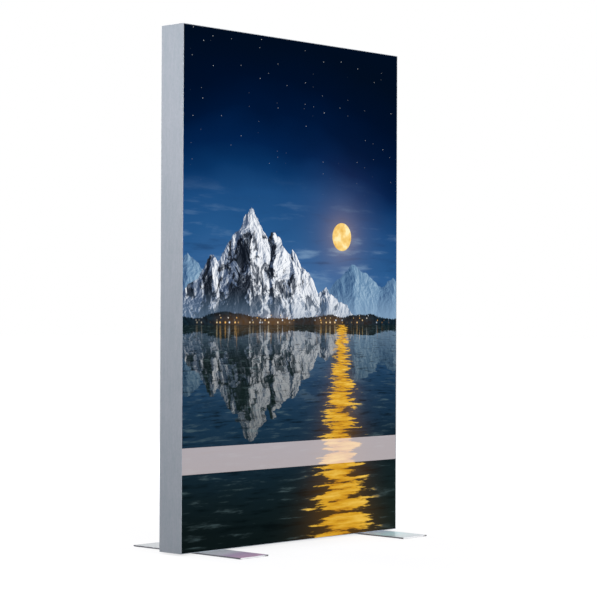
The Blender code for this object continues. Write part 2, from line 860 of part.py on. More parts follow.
def build_pins(module, place, centre, brass):
    """The inlet's three pins, each in its own slot in the floor of the shroud."""
    low = FACE_SETBACK + PIN_SETBACK
    high = FACE_SETBACK + SHROUD_DEPTH + PIN_ROOT
    spots = {
        "line": (-PIN_SPREAD, -PIN_OFFSET),
        "neutral": (PIN_SPREAD, -PIN_OFFSET),
        "earth": (0, PIN_OFFSET),
    }
    slots = []
    for name, (across, up) in spots.items():
        for ease, store in ((0, None), (GAP, slots)):
            shape = placed_block(
                place,
                (low, across - PIN_WIDTH / 2 - ease, centre + up - PIN_HEIGHT / 2 - ease),
                (high + ease, across + PIN_WIDTH / 2 + ease, centre + up + PIN_HEIGHT / 2 + ease),
            )
            if store is None:
                piece(f"inlet_pin_{name}", shape, brass)
            else:
                store.append(shape)
    cut(module, together(slots), "pin_slots")


def build_inlet_screws(module, place, zinc):
    """The two screws that hold the inlet behind the upright's wall, and their holes in it."""
    cut(module, together(inlet_screw_holes(place)), "inlet_screw_threads")
    head = (INLET_SCREW_HEAD_RADIUS, INLET_SCREW_HEAD_HEIGHT)
    shank = (INLET_SCREW_RADIUS, INLET_SCREW_LENGTH)
    key = (INLET_SCREW_KEY_RADIUS, INLET_SCREW_KEY_DEPTH)
    inward = place(1, 0, 0) - place(0, 0, 0)
    for name, start in inlet_screw_starts(place).items():
        screw = countersunk_screw(head, shank, key, start, inward)
        piece(f"inlet_screw_{name}", screw, zinc, smooth=True)


def build_inlet(black, switch_paint, brass, zinc):
    """The mains inlet with the switch's housing in one moulding, and the rocker on its trunnions."""
    place = side_place("right")
    back = WALL + GAP
    body = placed_block(
        place,
        (back, GAP - CHANNEL_WIDTH / 2, INLET_HEIGHT - MODULE_LENGTH / 2),
        (back + MODULE_DEPTH, CHANNEL_WIDTH / 2 - GAP, INLET_HEIGHT + MODULE_LENGTH / 2),
    )
    module = piece("mains_inlet", body, black)
    face = placed_block(
        place,
        (FACE_SETBACK, -FACE_WIDTH / 2, INLET_HEIGHT - FACE_LENGTH / 2),
        (back + OVERRUN, FACE_WIDTH / 2, INLET_HEIGHT + FACE_LENGTH / 2),
    )
    join(module, face, "inlet_face")
    half_width, half_height = SHROUD_WIDTH / 2, SHROUD_HEIGHT / 2
    shroud = [
        (-half_width, -half_height),
        (half_width, -half_height),
        (half_width, half_height - SHROUD_CORNER),
        (half_width - SHROUD_CORNER, half_height),
        (SHROUD_CORNER - half_width, half_height),
        (-half_width, half_height - SHROUD_CORNER),
    ]
    centre = INLET_HEIGHT - SHROUD_DROP
    recess = swept(
        [shroud],
        lambda a, b: (FACE_SETBACK - OVERRUN, FACE_SETBACK + SHROUD_DEPTH),
        lambda a, b, c: place(c, a, centre + b),
    )
    cut(module, recess, "inlet_recess")
    build_pins(module, place, centre, brass)
    build_inlet_screws(module, place, zinc)
    axis = INLET_HEIGHT + ROCKER_RISE
    depth = FACE_SETBACK + rocker_depth()
    well = math.hypot(ROCKER_HALF_LENGTH, ROCKER_FACE) + GAP
    floor = depth + math.hypot(ROCKER_HALF_LENGTH * ROCKER_BACK_SHARE, ROCKER_BACK) + GAP
    window = placed_block(
        place,
        (FACE_SETBACK - OVERRUN, -ROCKER_WIDTH / 2 - GAP, axis - well),
        (floor, ROCKER_WIDTH / 2 + GAP, axis + well),
    )
    cut(module, window, "rocker_window")
    trunnion = ROCKER_WIDTH / 2 + TRUNNION_LENGTH
    bore = rod(
        TRUNNION_RADIUS + GAP,
        place(depth, -trunnion - GAP, axis),
        place(depth, trunnion + GAP, axis),
        LENS_SIDES,
    )
    cut(module, bore, "rocker_bore")
    pivot = pivot_at("rocker_pivot", place(depth, 0, axis))
    turn = Matrix.Rotation(ROCKER_TILT, 4, "Y")
    shape = swept(
        [rocker_outline()],
        lambda a, b: (-ROCKER_WIDTH / 2, ROCKER_WIDTH / 2),
        lambda a, b, c: pivot.location + turn @ Vector((a, c, b)),
    )
    rocker = piece("switch_rocker", shape, switch_paint, pivot)
    stub = rod(
        TRUNNION_RADIUS, place(depth, -trunnion, axis), place(depth, trunnion, axis), LENS_SIDES
    )
    join(rocker, stub, "rocker_trunnions")


# The leads


def board_tail(place):
    """The last stretch of an LED lead: past the crossbar's socket and out to the back of the upper board."""
    low = board_span("upper")[0]
    end = LIP - GAP
    return [
        place(LEAD_DEPTH, 0, low),
        place(LEAD_DEPTH + LEAD_BEND / 4, 0, low + LEAD_BEND),
        place(end - LEAD_BEND / 4, 0, low + 2 * LEAD_BEND),
        place(end, 0, low + 2 * LEAD_BEND),
    ]


def left_lead_route():
    """From the driver's left end down into the bottom rail's channel, along it, and up the left upright."""
    rail, upright = side_place("bottom"), side_place("left")
    exit_along = DRIVER_PLACE - DRIVER_LENGTH / 2 - GAP
    height = SEAT + DRIVER_HEIGHT / 2
    side = -LEAD_EXIT_OFFSET
    corner = -FRAME_WIDTH / 2
    foot = -FRAME_HEIGHT / 2
    return [
        rail(height, side, exit_along),
        rail(height, side, exit_along - LEAD_BEND),
        rail(height - LEAD_BEND / 2, side, exit_along - 3 * LEAD_BEND),
        rail(RAIL_LEAD_DEPTH + LEAD_BEND / 2, side / 2, exit_along - 6 * LEAD_BEND),
        rail(RAIL_LEAD_DEPTH, 0, exit_along - 8 * LEAD_BEND),
        rail(RAIL_LEAD_DEPTH, 0, corner + LEAD_DEPTH + 2 * LEAD_BEND),
        rail(RAIL_LEAD_DEPTH + LEAD_BEND / 2, 0, corner + LEAD_DEPTH + LEAD_BEND / 2),
        upright(LEAD_DEPTH, 0, foot + RAIL_LEAD_DEPTH + 2 * LEAD_BEND),
        *board_tail(upright),
    ]


def right_lead_route():
    """From the driver's left end back beside the case, along the rail, and up the right upright."""
    rail, upright = side_place("bottom"), side_place("right")
    exit_along = DRIVER_PLACE - DRIVER_LENGTH / 2 - GAP
    height = SEAT + DRIVER_HEIGHT / 2
    lying = SEAT + LED_LEAD_RADIUS
    turn_along = exit_along - LEAD_BEND
    turn_side = LEAD_EXIT_OFFSET + LEAD_BEND
    turn = []
    for quarter in range(5):
        angle = math.pi * quarter / 4
        turn.append(
            rail(
                height + (lying - height) * quarter / 4,
                turn_side - LEAD_BEND * math.cos(angle),
                turn_along - LEAD_BEND * math.sin(angle),
            )
        )
    foot = lying - FRAME_HEIGHT / 2
    slot = INLET_HEIGHT + MODULE_LENGTH / 2 + 2 * LEAD_BEND
    return [
        rail(height, LEAD_EXIT_OFFSET, exit_along),
        *turn,
        upright(SEAT + 4 * LEAD_BEND, LED_LEAD_SIDE, foot),
        upright(SEAT + 5 * LEAD_BEND / 2, LED_LEAD_SIDE, foot + LEAD_BEND / 2),
        upright(SEAT + 3 * LEAD_BEND / 2, LED_LEAD_SIDE - LEAD_BEND / 2, foot + 5 * LEAD_BEND / 2),
        upright(SEAT + LEAD_BEND, LEAD_BEND, foot + 5 * LEAD_BEND),
        upright(SEAT, 0, slot),
        upright(LEAD_DEPTH + LEAD_BEND / 4, 0, slot + LEAD_BEND),
        upright(LEAD_DEPTH, 0, slot + 3 * LEAD_BEND),
        *board_tail(upright),
    ]


def mains_lead_route():
    """From the back of the inlet down to the rail, under its clip, and into the driver's right end."""
    rail, upright = side_place("bottom"), side_place("right")
    start = WALL + GAP + MODULE_DEPTH + GAP
    low = INLET_HEIGHT - SHROUD_DROP
    lying = SEAT + MAINS_LEAD_RADIUS
    height = SEAT + DRIVER_HEIGHT / 2
    side = -MAINS_LEAD_SIDE
    end = DRIVER_PLACE + DRIVER_LENGTH / 2 + GAP
    return [
        upright(start, 0, low),
        upright(start + LEAD_BEND, 0, low),
        upright(start + 3 * LEAD_BEND, side / 4, low - LEAD_BEND / 2),
        rail(lying + LEAD_BEND / 2, 3 * side / 4, CLIP_PLACE + 3 * LEAD_BEND),
        rail(lying, side, CLIP_PLACE + LEAD_BEND),
        rail(lying, side, CLIP_PLACE - LEAD_BEND),
        rail((lying + height) / 2, side / 2, end + 2 * LEAD_BEND),
        rail(height, 0, end + LEAD_BEND / 2),
        rail(height, 0, end),
    ]


def build_clip(name, radius, depth, paint):
    """A saddle over a lead that lies on the bottom rail."""
    inner = radius + GAP
    outer = inner + CLIP_WALL
    centre = SEAT + radius
    arch = [i / CLIP_STEPS for i in range(CLIP_STEPS + 1)]

    def around(reach):
        return [
            (centre + reach * math.sin(math.pi * share), reach * math.cos(math.pi * share))
            for share in arch
        ]

    foot = SEAT + CLIP_WALL
    section = [
        (SEAT, inner),
        (SEAT, outer + CLIP_FOOT),
        (foot, outer + CLIP_FOOT),
        (foot, outer),
        *around(outer),
        (foot, -outer),
        (foot, -outer - CLIP_FOOT),
        (SEAT, -outer - CLIP_FOOT),
        (SEAT, -inner),
        *reversed(around(inner)),
    ]
    rail = side_place("bottom")
    ends = (CLIP_PLACE - CLIP_LENGTH / 2, CLIP_PLACE + CLIP_LENGTH / 2)
    shape = swept([section], lambda a, b: ends, lambda a, b, c: rail(a, depth + b, c))
    piece(name, shape, paint, smooth=True)


def build_leads(cable, black):
    lead("led_lead_left", left_lead_route(), LED_LEAD_RADIUS, cable)
    lead("led_lead_right", right_lead_route(), LED_LEAD_RADIUS, cable)
    lead("mains_lead", mains_lead_route(), MAINS_LEAD_RADIUS, cable)
    build_clip("led_lead_clip", LED_LEAD_RADIUS, LED_LEAD_SIDE, black)
    build_clip("mains_lead_clip", MAINS_LEAD_RADIUS, -MAINS_LEAD_SIDE, black)


def main():
    for item in list(bpy.data.objects):
        bpy.data.objects.remove(item)
    aluminium = finish_paint("anodised_aluminium", (0.52, 0.54, 0.58), 0.42, 0.6)
    fabric = finish_paint("printed_fabric", (0.04, 0.09, 0.17), 0.75, 0)
    silicone = finish_paint("silicone", (0.80, 0.82, 0.83), 0.45, 0)
    steel = finish_paint("foot_steel", (0.62, 0.63, 0.68), 0.35, 0.7)
    rubber = finish_paint("rubber", (0.03, 0.03, 0.03), 0.8, 0)
    zinc = finish_paint("zinc_plated_steel", (0.66, 0.67, 0.66), 0.38, 0.9)
    board = finish_paint("led_board", (0.88, 0.89, 0.90), 0.45, 0)
    lens = finish_paint("lens_acrylic", (0.86, 0.90, 0.94), 0.12, 0)
    driver = finish_paint("driver_case", (0.74, 0.75, 0.77), 0.5, 0.4)
    white = finish_paint("white_plastic", (0.85, 0.86, 0.86), 0.5, 0)
    black = finish_paint("black_plastic", (0.03, 0.03, 0.035), 0.5, 0)
    switch = finish_paint("switch_plastic", (0.04, 0.04, 0.045), 0.3, 0)
    cable = finish_paint("cable_sheath", (0.78, 0.79, 0.80), 0.5, 0)
    brass = finish_paint("plated_brass", (0.76, 0.72, 0.60), 0.3, 0.9)

    build_frame(aluminium)
    for side in ("left", "right"):
        for end in ("bottom", "top"):
            for face in ("front", "rear"):
                build_corner(side, end, face, zinc)
        for half in ("lower", "upper"):
            build_led_bar(side, half, board, lens)
        build_foot(side, steel, rubber, zinc)
    for face in ("front", "rear"):
        build_graphic(face, fabric, silicone)
    build_crossbar(aluminium, white)
    build_driver(driver, zinc)
    build_inlet(black, switch, brass, zinc)
    build_leads(cable, black)


main()
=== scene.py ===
"""The looks of a free-standing double-sided lightbox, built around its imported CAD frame.

Metres, +Z up. The front face looks along -Y. The origin is on the floor under the frame's middle.
"""

import math

import bmesh
import bpy
from mathutils import Matrix, Vector


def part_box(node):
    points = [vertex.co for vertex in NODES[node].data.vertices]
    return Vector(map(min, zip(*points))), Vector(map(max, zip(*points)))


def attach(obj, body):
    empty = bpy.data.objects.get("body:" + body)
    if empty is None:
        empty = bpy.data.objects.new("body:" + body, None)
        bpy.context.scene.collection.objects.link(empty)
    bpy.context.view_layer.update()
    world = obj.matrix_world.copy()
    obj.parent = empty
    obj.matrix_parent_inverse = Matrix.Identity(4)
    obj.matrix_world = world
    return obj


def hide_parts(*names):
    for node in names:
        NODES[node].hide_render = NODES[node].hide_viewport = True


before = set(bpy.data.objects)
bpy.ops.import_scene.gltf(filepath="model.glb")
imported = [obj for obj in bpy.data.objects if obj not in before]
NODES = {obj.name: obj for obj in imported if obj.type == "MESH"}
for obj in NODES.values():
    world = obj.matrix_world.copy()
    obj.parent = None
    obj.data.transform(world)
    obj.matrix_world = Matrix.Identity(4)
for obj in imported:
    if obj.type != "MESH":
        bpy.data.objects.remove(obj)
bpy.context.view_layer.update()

# Which way each side and face looks, along X or Y, a square's corners, and a skew direction
SIGN = {"left": -1, "right": 1, "front": -1, "rear": 1}
SQUARE = ((-1, -1), (1, -1), (1, 1), (-1, 1))
SKEW = Vector((1.0, 0.37, 0.19))

# The camera
CAMERA_PLACE = (-5.691, -5.3745, 0.9047)
CAMERA_HEADING = math.radians(-47.041)
CAMERA_TILT = math.radians(0.512)
CAMERA_ROLL = math.radians(0.234)
CAMERA_LENS = 117.50
SENSOR_WIDTH = 36.0

# The lamps, as (name, place, what it aims at, watts, width)
LAMPS = (
    ("front_softbox", (0.9, -5.5, 2.2), (0, 0, 1.0), 248.0, 3.0),
    ("rear_softbox", (0.9, 5.5, 2.2), (0, 0, 1.0), 248.0, 3.0),
    ("left_softbox", (-2.85, 0, 2.2), (-0.6, 0, 2.1), 54.0, 1.2),
    ("right_softbox", (2.85, 0, 2.2), (0.6, 0, 2.1), 36.0, 1.2),
)

# The room: its background's light, half the floor's width, and how white the floor looks near the
# object and far from it, with the distances between which it changes
WORLD_LIGHT = 0.21
FLOOR_HALF = 60.0
FLOOR_NEAR = 0.75
FLOOR_FAR = 0.95
FLOOR_FADE = (0.8, 4.0)

# The frame, as the CAD has it
FRAME_LOW, FRAME_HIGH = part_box("left_upright")[0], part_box("right_upright")[1]
FRAME_LOW.z, FRAME_HIGH.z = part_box("bottom_rail")[0].z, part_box("top_rail")[1].z
FRAME_WIDTH = FRAME_HIGH.x - FRAME_LOW.x
FRAME_HEIGHT = FRAME_HIGH.z - FRAME_LOW.z
FRAME_DEPTH = FRAME_HIGH.y - FRAME_LOW.y
FRAME_MIDDLE = FRAME_LOW.z + FRAME_HEIGHT / 2
FACE = FRAME_DEPTH / 2
WALL = 0.002

# The foot plates, as the CAD has them, and how far from their side the painted shade along the rim
# and the painted shade at the tip of each end start and are full
PLATE_LOW, PLATE_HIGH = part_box("right_foot_plate")
PLATE_MIDDLE = (PLATE_LOW.x + PLATE_HIGH.x) / 2
PLATE_HALF = PLATE_HIGH.x - PLATE_MIDDLE
SHADED_RIM_START = 0.0045
SHADED_RIM_FULL = 0.0020
SHADED_TIP_START = 0.032
SHADED_TIP_FULL = 0.004

# Nodes whose sharp edges are rounded
SOFTENED = ("foot_plate", "led_driver")
SOFT_WIDTH = 0.0003
SOFT_ANGLE = math.radians(35)
WELD_REACH = 0.00001
FLAT_ANGLE = math.radians(0.5)

# The silicone edges, as the CAD has them. A tooth's outline is (share of its pitch, at its tip or not)
SILICONE_OUTER = 0.0025
SILICONE_INNER = 0.0055
SILICONE_LOW = 0.0453
SILICONE_HIGH = 0.0590
SILICONE_EDGE = 0.0004
TOOTH_COUNT = 5
TOOTH_PITCH = 0.0023
TOOTH_DEPTH = 0.0006
TOOTH_FIRST = 0.0572
TOOTH_OUTLINE = ((0.0, False), (0.20, True), (0.45, True), (0.80, False))

# The stitches that hold the silicone in the hem. A stitch's points are shares of half its length,
# of half its width and of its height, and its faces are made of them by number
STITCH_LINE = 0.0512
STITCH_PITCH = 0.0042
STITCH_LENGTH = 0.0031
STITCH_WIDTH = 0.0005
STITCH_HEIGHT = 0.00007
STITCH_POINTS = (
    (-1, 0, -1),
    (-0.7, 1, -1),
    (0.7, 1, -1),
    (1, 0, -1),
    (0.7, -1, -1),
    (-0.7, -1, -1),
    (-0.6, 0, 1),
    (0.6, 0, 1),
)
STITCH_FACES = (
    (0, 1, 6),
    (1, 2, 7, 6),
    (2, 3, 7),
    (3, 4, 7),
    (4, 5, 6, 7),
    (5, 0, 6),
    (0, 5, 4, 3, 2, 1),
)

# The LED boards: the lower and the upper one on each upright, and their lens strips
BOARD_TOP = 0.5907
BOARD_SPANS = {"lower": (0.1766, 0.9766), "upper": (1.0366, 1.8366)}
LENS_PITCH = 0.072
LENS_COUNT = 11
STRIP_BASE = 0.5904
STRIP_FACE = 0.5889
STRIP_WIDTH = 0.020
STRIP_MARGIN = 0.004
STRIP_EDGE = 0.0003
DOME_RADIUS = 0.0085
DOME_TOP = 0.5829
DOME_SINK = 0.0004
DOME_SIDES = 28
DOME_RINGS = 8

# What is at each LED, as (finish, width, height, thickness, how far beside the LED)
CHIP_PARTS = (
    ("led_package", 0.0028, 0.0035, 0.00024, 0.0),
    ("led_phosphor", 0.0019, 0.0025, 0.00027, 0.0),
    ("resistor", 0.00084, 0.0010, 0.00047, 0.0110),
    ("zinc_plated_steel", 0.0008, 0.0016, 0.00045, 0.0110),
)

# The driver's case, as the CAD has it, its two ends and the end caps on them
DRIVER_LOW = Vector((0.2200, -0.0250, 0.0389))
DRIVER_HIGH = Vector((0.4000, 0.0250, 0.0689))
DRIVER_EAR = 0.0020
DRIVER_ENDS = ((DRIVER_LOW.x, -1), (DRIVER_HIGH.x, 1))
CAP_LOW = DRIVER_LOW.z + DRIVER_EAR
CAP_THICKNESS = 0.0014
CAP_MARGIN = 0.0005
CAP_EDGE = 0.0005

# The lead boots on the caps: half the width and half the height of each, for two leads and for one,
# and the outline as (reach, share of the size)
LEAD_HEIGHT = 0.0539
BOOT_SIZES = ((0.0098, 0.0052), (0.0066, 0.0066))
BOOT_SINK = 0.0004
BOOT_TAPER = 0.55
BOOT_OUTLINE = (
    (0.0, 1.0),
    (0.0028, 1.0),
    (0.0032, 0.86),
    (0.0046, 0.86),
    (0.0050, 0.94),
    (0.0062, 0.92),
    (0.0066, 0.80),
    (0.0080, 0.80),
    (0.0084, 0.88),
    (0.0096, 0.85),
    (0.0100, 0.76),
    (0.0124, 0.72),
)

# The cap screws, with the outline of a head as (height, radius), and the fins on the case
CAP_SCREW_INSET = 0.0045
CAP_SCREW_SINK = 0.0003
CAP_SCREW_SIDES = 16
CAP_SCREW_OUTLINE = ((0.0, 0.0018), (0.0007, 0.0018), (0.0011, 0.0013), (0.0011, 0.0008), (0.0005, 0.0008))
FIN_COUNT = 9
FIN_PITCH = 0.0044
FIN_WIDTH = 0.0012
FIN_HEIGHT = 0.0008
FIN_MARGIN = 0.010
FIN_SINK = 0.0005
FIN_EDGE = 0.0003

# The rocker: its pivot, its faces, and its marks
ROCKER_PIVOT = Vector((0.6207037, 0.0, 0.0981))
ROCKER_TILT = math.radians(10)
ROCKER_FACE = 0.003
ROCKER_HALF = 0.006
MARK_HEIGHT = 0.00006
MARK_RADIUS = 0.0015
MARK_STROKE = 0.0004
MARK_SIDES = 24

# The printed fabrics. They rest on the frame's crest, bow inwards from there, and pucker at their edge
FABRIC_THICKNESS = 0.0003
FABRIC_SETBACK = 0.0003
FABRIC_SIDE_GAP = 0.0001
FABRIC_FOLD = 0.0008
FABRIC_HEM = 0.0135
FABRIC_STEP = 0.012
FABRIC_EDGE_STEP = FABRIC_STEP / 3
FABRIC_CORNER = 0.0028
FOLD_ANGLES = (30, 60, 90)
HEM_STEP = 0.004
HEM_LINES = len(FOLD_ANGLES) + round((FABRIC_HEM - FABRIC_FOLD) / HEM_STEP)
CREST = 0.008
BOW_DEPTH = 0.0009
BOW_REACH = 0.12
PUCKER_DEPTH = 0.00012
PUCKER_PITCH = 0.017
PUCKER_REACH = 0.030
PUCKER_FALL = 2.5
WEAVE_PITCH = 0.0007
WEAVE_DEPTH = 0.00004

# The picture, in metres from its lower left corner
PICTURE_WIDTH = FRAME_WIDTH - 2 * WALL
PICTURE_HEIGHT = FRAME_HEIGHT - 2 * WALL
WATERLINE = 0.86
WATERLINE_BLUR = 0.0005
VANISHING_ACROSS = 0.62
HORIZON_NEARNESS = 0.06
SKY_MIDDLE = 0.6
MOON_ACROSS = 0.90
MOON_RISE = 0.36
MOON_RADIUS = 0.058
MOON_BLUR = 0.0015
BAND_LOW = 0.293
BAND_HIGH = 0.396
BAND_BLUR = 0.002
SLOPE_STEP = 0.004
RIDGE_STEP = 0.003

# Mountains, as (place, height, slope), and rows of lit windows, as (a shift that sets the row apart,
# height, windows in a metre, size)
FAR_PEAKS = ((0.02, 0.27, 0.62), (0.52, 0.22, 0.55), (0.98, 0.25, 0.60), (1.22, 0.20, 0.50))
NEAR_PEAKS = (
    (0.37, 0.46, 1.15),
    (0.16, 0.27, 0.95),
    (0.60, 0.30, 1.00),
    (0.50, 0.37, 1.05),
    (0.80, 0.15, 0.60),
)
WINDOW_ROWS = (
    (0.0, 0.010, 38.0, 0.0030),
    (3.7, 0.019, 31.0, 0.0024),
    (8.1, 0.028, 23.0, 0.0020),
    (5.3, 0.038, 15.0, 0.0016),
)

# The picture's colours, as a screen shows them, each for a value
SKY_TONES = (
    (0.00, (126, 158, 188)),
    (0.07, (96, 134, 172)),
    (0.20, (54, 98, 148)),
    (0.36, (36, 84, 134)),
    (0.52, (26, 72, 122)),
    (0.62, (9, 50, 96)),
    (0.70, (2, 32, 73)),
    (0.82, (0, 20, 52)),
    (0.96, (0, 14, 39)),
    (1.14, (1, 12, 30)),
)
FAR_TONES = ((0.0, (44, 78, 118)), (0.6, (104, 138, 170)), (1.0, (150, 178, 200)))
SNOW_TONES = ((0.0, (62, 78, 104)), (0.35, (120, 134, 156)), (0.70, (198, 204, 214)), (1.0, (240, 243, 247)))
ROCK_TONES = ((0.0, (14, 20, 30)), (0.6, (52, 60, 72)), (1.0, (112, 118, 128)))
MOON_TONES = ((0.30, (226, 176, 84)), (0.50, (244, 208, 128)), (0.62, (252, 232, 176)))
WOODS_TONES = ((0.3, (6, 16, 24)), (0.7, (24, 44, 56)))
WINDOW_TONES = ((0.2, (255, 190, 90)), (0.5, (255, 224, 160)), (0.8, (226, 240, 255)))
GOLD_TONES = ((-0.12, (176, 112, 22)), (0.02, (214, 160, 42)), (0.20, (242, 202, 92)))
BACK_TONES = ((0.0, (214, 216, 218)), (1.0, (240, 241, 243)))

# The shader's own colours, each for a value
ALUMINIUM_TONES = (
    (0.38, (0.318, 0.366, 0.418)),
    (0.50, (0.359, 0.393, 0.446)),
    (0.62, (0.398, 0.424, 0.482)),
)
# The foot plates' steel tone, with painted reflections of lilac, pale blue and white laid across each plate
STEEL_AND_REFLECTION_TONES = (
    (-0.44, (0.52, 0.56, 0.60)),
    (-0.20, (0.56, 0.61, 0.66)),
    (-0.06, (0.75, 0.81, 0.88)),
    (0.01, (0.74, 0.75, 0.86)),
    (0.06, (0.62, 0.48, 0.70)),
    (0.14, (0.74, 0.48, 0.69)),
    (0.20, (0.68, 0.74, 0.93)),
    (0.29, (0.62, 0.90, 0.98)),
    (0.36, (0.61, 0.77, 0.82)),
    (0.44, (0.60, 0.65, 0.70)),
)
ACRYLIC_TONES = ((0.3, (0.90, 0.94, 0.97)), (0.7, (0.97, 0.98, 0.99)))
FLOOR_TONES = ((0.3, (0.29, 0.29, 0.30)), (0.7, (0.32, 0.32, 0.33)))

# How deep the materials' bumps are
GRAIN_DEPTH = 0.00003
ROLLING_DEPTH = 0.00002

# Plain materials, as (dark tone, pale tone, scale of the grain, roughness, metallic share, glow)
PLAIN_FINISHES = {
    "zinc_plated_steel": ((0.60, 0.61, 0.61), (0.70, 0.71, 0.70), 900.0, 0.34, 0.9),
    "rubber": ((0.018, 0.018, 0.019), (0.04, 0.04, 0.042), 1200.0, 0.78),
    "silicone": ((0.66, 0.69, 0.71), (0.80, 0.82, 0.83), 700.0, 0.42),
    "led_board": ((0.80, 0.81, 0.82), (0.90, 0.91, 0.92), 500.0, 0.42),
    "driver_case": ((0.66, 0.67, 0.69), (0.76, 0.77, 0.79), 800.0, 0.46, 0.4),
    "white_plastic": ((0.76, 0.77, 0.77), (0.86, 0.87, 0.87), 900.0, 0.48),
    "black_plastic": ((0.018, 0.018, 0.021), (0.038, 0.038, 0.043), 1100.0, 0.5),
    "switch_plastic": ((0.028, 0.028, 0.032), (0.045, 0.045, 0.050), 900.0, 0.28),
    "cable_sheath": ((0.70, 0.71, 0.72), (0.80, 0.81, 0.82), 900.0, 0.5),
    "plated_brass": ((0.66, 0.62, 0.50), (0.80, 0.76, 0.64), 900.0, 0.26, 0.95),
    "thread": ((0.62, 0.63, 0.65), (0.84, 0.85, 0.86), 2600.0, 0.7),
    "led_package": ((0.80, 0.80, 0.78), (0.90, 0.90, 0.88), 3000.0, 0.45),
    "led_phosphor": ((0.86, 0.62, 0.10), (0.94, 0.76, 0.22), 4000.0, 0.5, 0.0, (1.0, 0.90, 0.72)),
    "resistor": ((0.02, 0.02, 0.02), (0.05, 0.05, 0.05), 4000.0, 0.4),
}

# The finish of each CAD node, by the first of these words that its name has
NODE_FINISHES = {
    "upright": "anodised_upright",
    "rail": "anodised_rail",
    "crossbar_socket": "white_plastic",
    "crossbar": "anodised_rail",
    "bracket": "zinc_plated_steel",
    "screw": "zinc_plated_steel",
    "silicone_edge": "silicone",
    "foot_plate": "foot_steel",
    "foot_pad": "rubber",
    "bolt": "zinc_plated_steel",
    "nut": "zinc_plated_steel",
    "led_board": "led_board",
    "led_lenses": "lens_acrylic",
    "led_driver": "driver_case",
    "inlet_pin": "plated_brass",
    "mains_inlet": "black_plastic",
    "switch_rocker": "switch_plastic",
    "lead_clip": "black_plastic",
    "led_lead": "cable_sheath",
    "mains_lead": "cable_sheath",
}

# The shader's inputs, by the words that this script has for them
SHADER_INPUTS = {
    "colour": "Base Color",
    "rough": "Roughness",
    "metallic": "Metallic",
    "specular": "Specular IOR Level",
    "clear": "Transmission Weight",
    "bend": "IOR",
    "glow": "Emission Color",
    "glow_strength": "Emission Strength",
}


# Node trees written as sums


class Value:
    """What a material works out at each point of a surface, and the tree and socket that give it."""

    def __init__(self, tree, socket):
        self.tree = tree
        self.socket = socket


class Number(Value):
    """A number, with Python's own arithmetic."""

    def result(self, operation, *others, clamp=False):
        node = self.tree.nodes.new("ShaderNodeMath")
        node.operation = operation
        node.use_clamp = clamp
        for place, value in zip(node.inputs, (self, *others)):
            connect(value, place)
        return Number(self.tree, node.outputs[0])

    def __add__(self, other):
        return self.result("ADD", other)

    def __sub__(self, other):
        return self.result("SUBTRACT", other)

    def __mul__(self, other):
        return self.result("MULTIPLY", other)

    def __truediv__(self, other):
        return self.result("DIVIDE", other)

    __radd__ = __add__
    __rmul__ = __mul__

    def __rsub__(self, other):
        return (self * -1) + other

    def __abs__(self):
        return self.result("ABSOLUTE")

    def most(self, other):
        return self.result("MAXIMUM", other)

    def power(self, exponent):
        return self.result("POWER", exponent)

    def sine(self):
        return self.result("SINE")

    def fall(self):
        """e to the power of minus this number."""
        return (self * -1).result("EXPONENT")

    def log(self):
        return self.result("LOGARITHM", math.e)

    def clamped(self):
        """This number, kept between 0 and 1."""
        return self.result("ADD", 0, clamp=True)

    def step(self, low, high):
        """A smooth step from 0 at low to 1 at high, also where low is above high."""
        node = self.tree.nodes.new("ShaderNodeMapRange")
        node.interpolation_type = "SMOOTHSTEP"
        ends = (low, high, 0, 1) if low <= high else (high, low, 1, 0)
        for name, value in zip(("Value", "From Min", "From Max", "To Min", "To Max"), (self, *ends)):
            connect(value, node.inputs[name])
        return Number(self.tree, node.outputs["Result"])


class Colour(Value):
    """A colour."""

    def blend(self, other, share, mode="MIX"):
        """Goes over to the other colour by share."""
        node = self.tree.nodes.new("ShaderNodeMix")
        node.data_type = "RGBA"
        node.blend_type = mode
        node.clamp_factor = True
        connect(share, node.inputs[0])
        connect(self, node.inputs[6])
        connect(other, node.inputs[7])
        return Colour(self.tree, node.outputs[2])

    def plus(self, other, share):
        """Adds the other colour's light by share."""
        return self.blend(other, share, "ADD")

    def times(self, number):
        """This colour made darker or lighter by a number."""
        node = self.tree.nodes.new("ShaderNodeVectorMath")
        node.operation = "SCALE"
        connect(self, node.inputs["Vector"])
        connect(number, node.inputs["Scale"])
        return Colour(self.tree, node.outputs["Vector"])


class Place(Value):
    """A point in space or in a picture."""

    def parts(self):
        """The point's three numbers."""
        node = self.tree.nodes.new("ShaderNodeSeparateXYZ")
        connect(self, node.inputs[0])
        return [Number(self.tree, output) for output in node.outputs]

    def length(self):
        node = self.tree.nodes.new("ShaderNodeVectorMath")
        node.operation = "LENGTH"
        connect(self, node.inputs[0])
        return Number(self.tree, node.outputs["Value"])


def connect(value, place):
    """Sets a node's input to a plain number or a plain colour of three parts, or links a Value to it."""
    if isinstance(value, Value):
        value.tree.links.new(value.socket, place)
    elif isinstance(value, tuple):
        place.default_value = (*value, 1)
    else:
        place.default_value = value


def seen(red, green, blue):
    """A colour as it looks on a screen, each part from 0 to 255, as the shader's own numbers."""
    parts = []
    for value in (red, green, blue):
        share = value / 255
        parts.append(share / 12.92 if share <= 0.04045 else ((share + 0.055) / 1.055) ** 2.4)
    return tuple(parts)


def ramp(number, tones):
    """A colour for each value between the tones, which are (value, colour) in rising order."""
    node = number.tree.nodes.new("ShaderNodeValToRGB")
    line = node.color_ramp
    low, high = tones[0][0], tones[-1][0]
    while len(line.elements) < len(tones):
        line.elements.new(0.5)
    for element, (value, colour) in zip(line.elements, tones):
        element.position = (value - low) / (high - low)
        element.color = (*colour, 1)
    connect((number - low) / (high - low), node.inputs["Fac"])
    return Colour(number.tree, node.outputs["Color"])


def painted(number, tones):
    """A ramp whose colours are given as they look on a screen."""
    return ramp(number, [(value, seen(*colour)) for value, colour in tones])


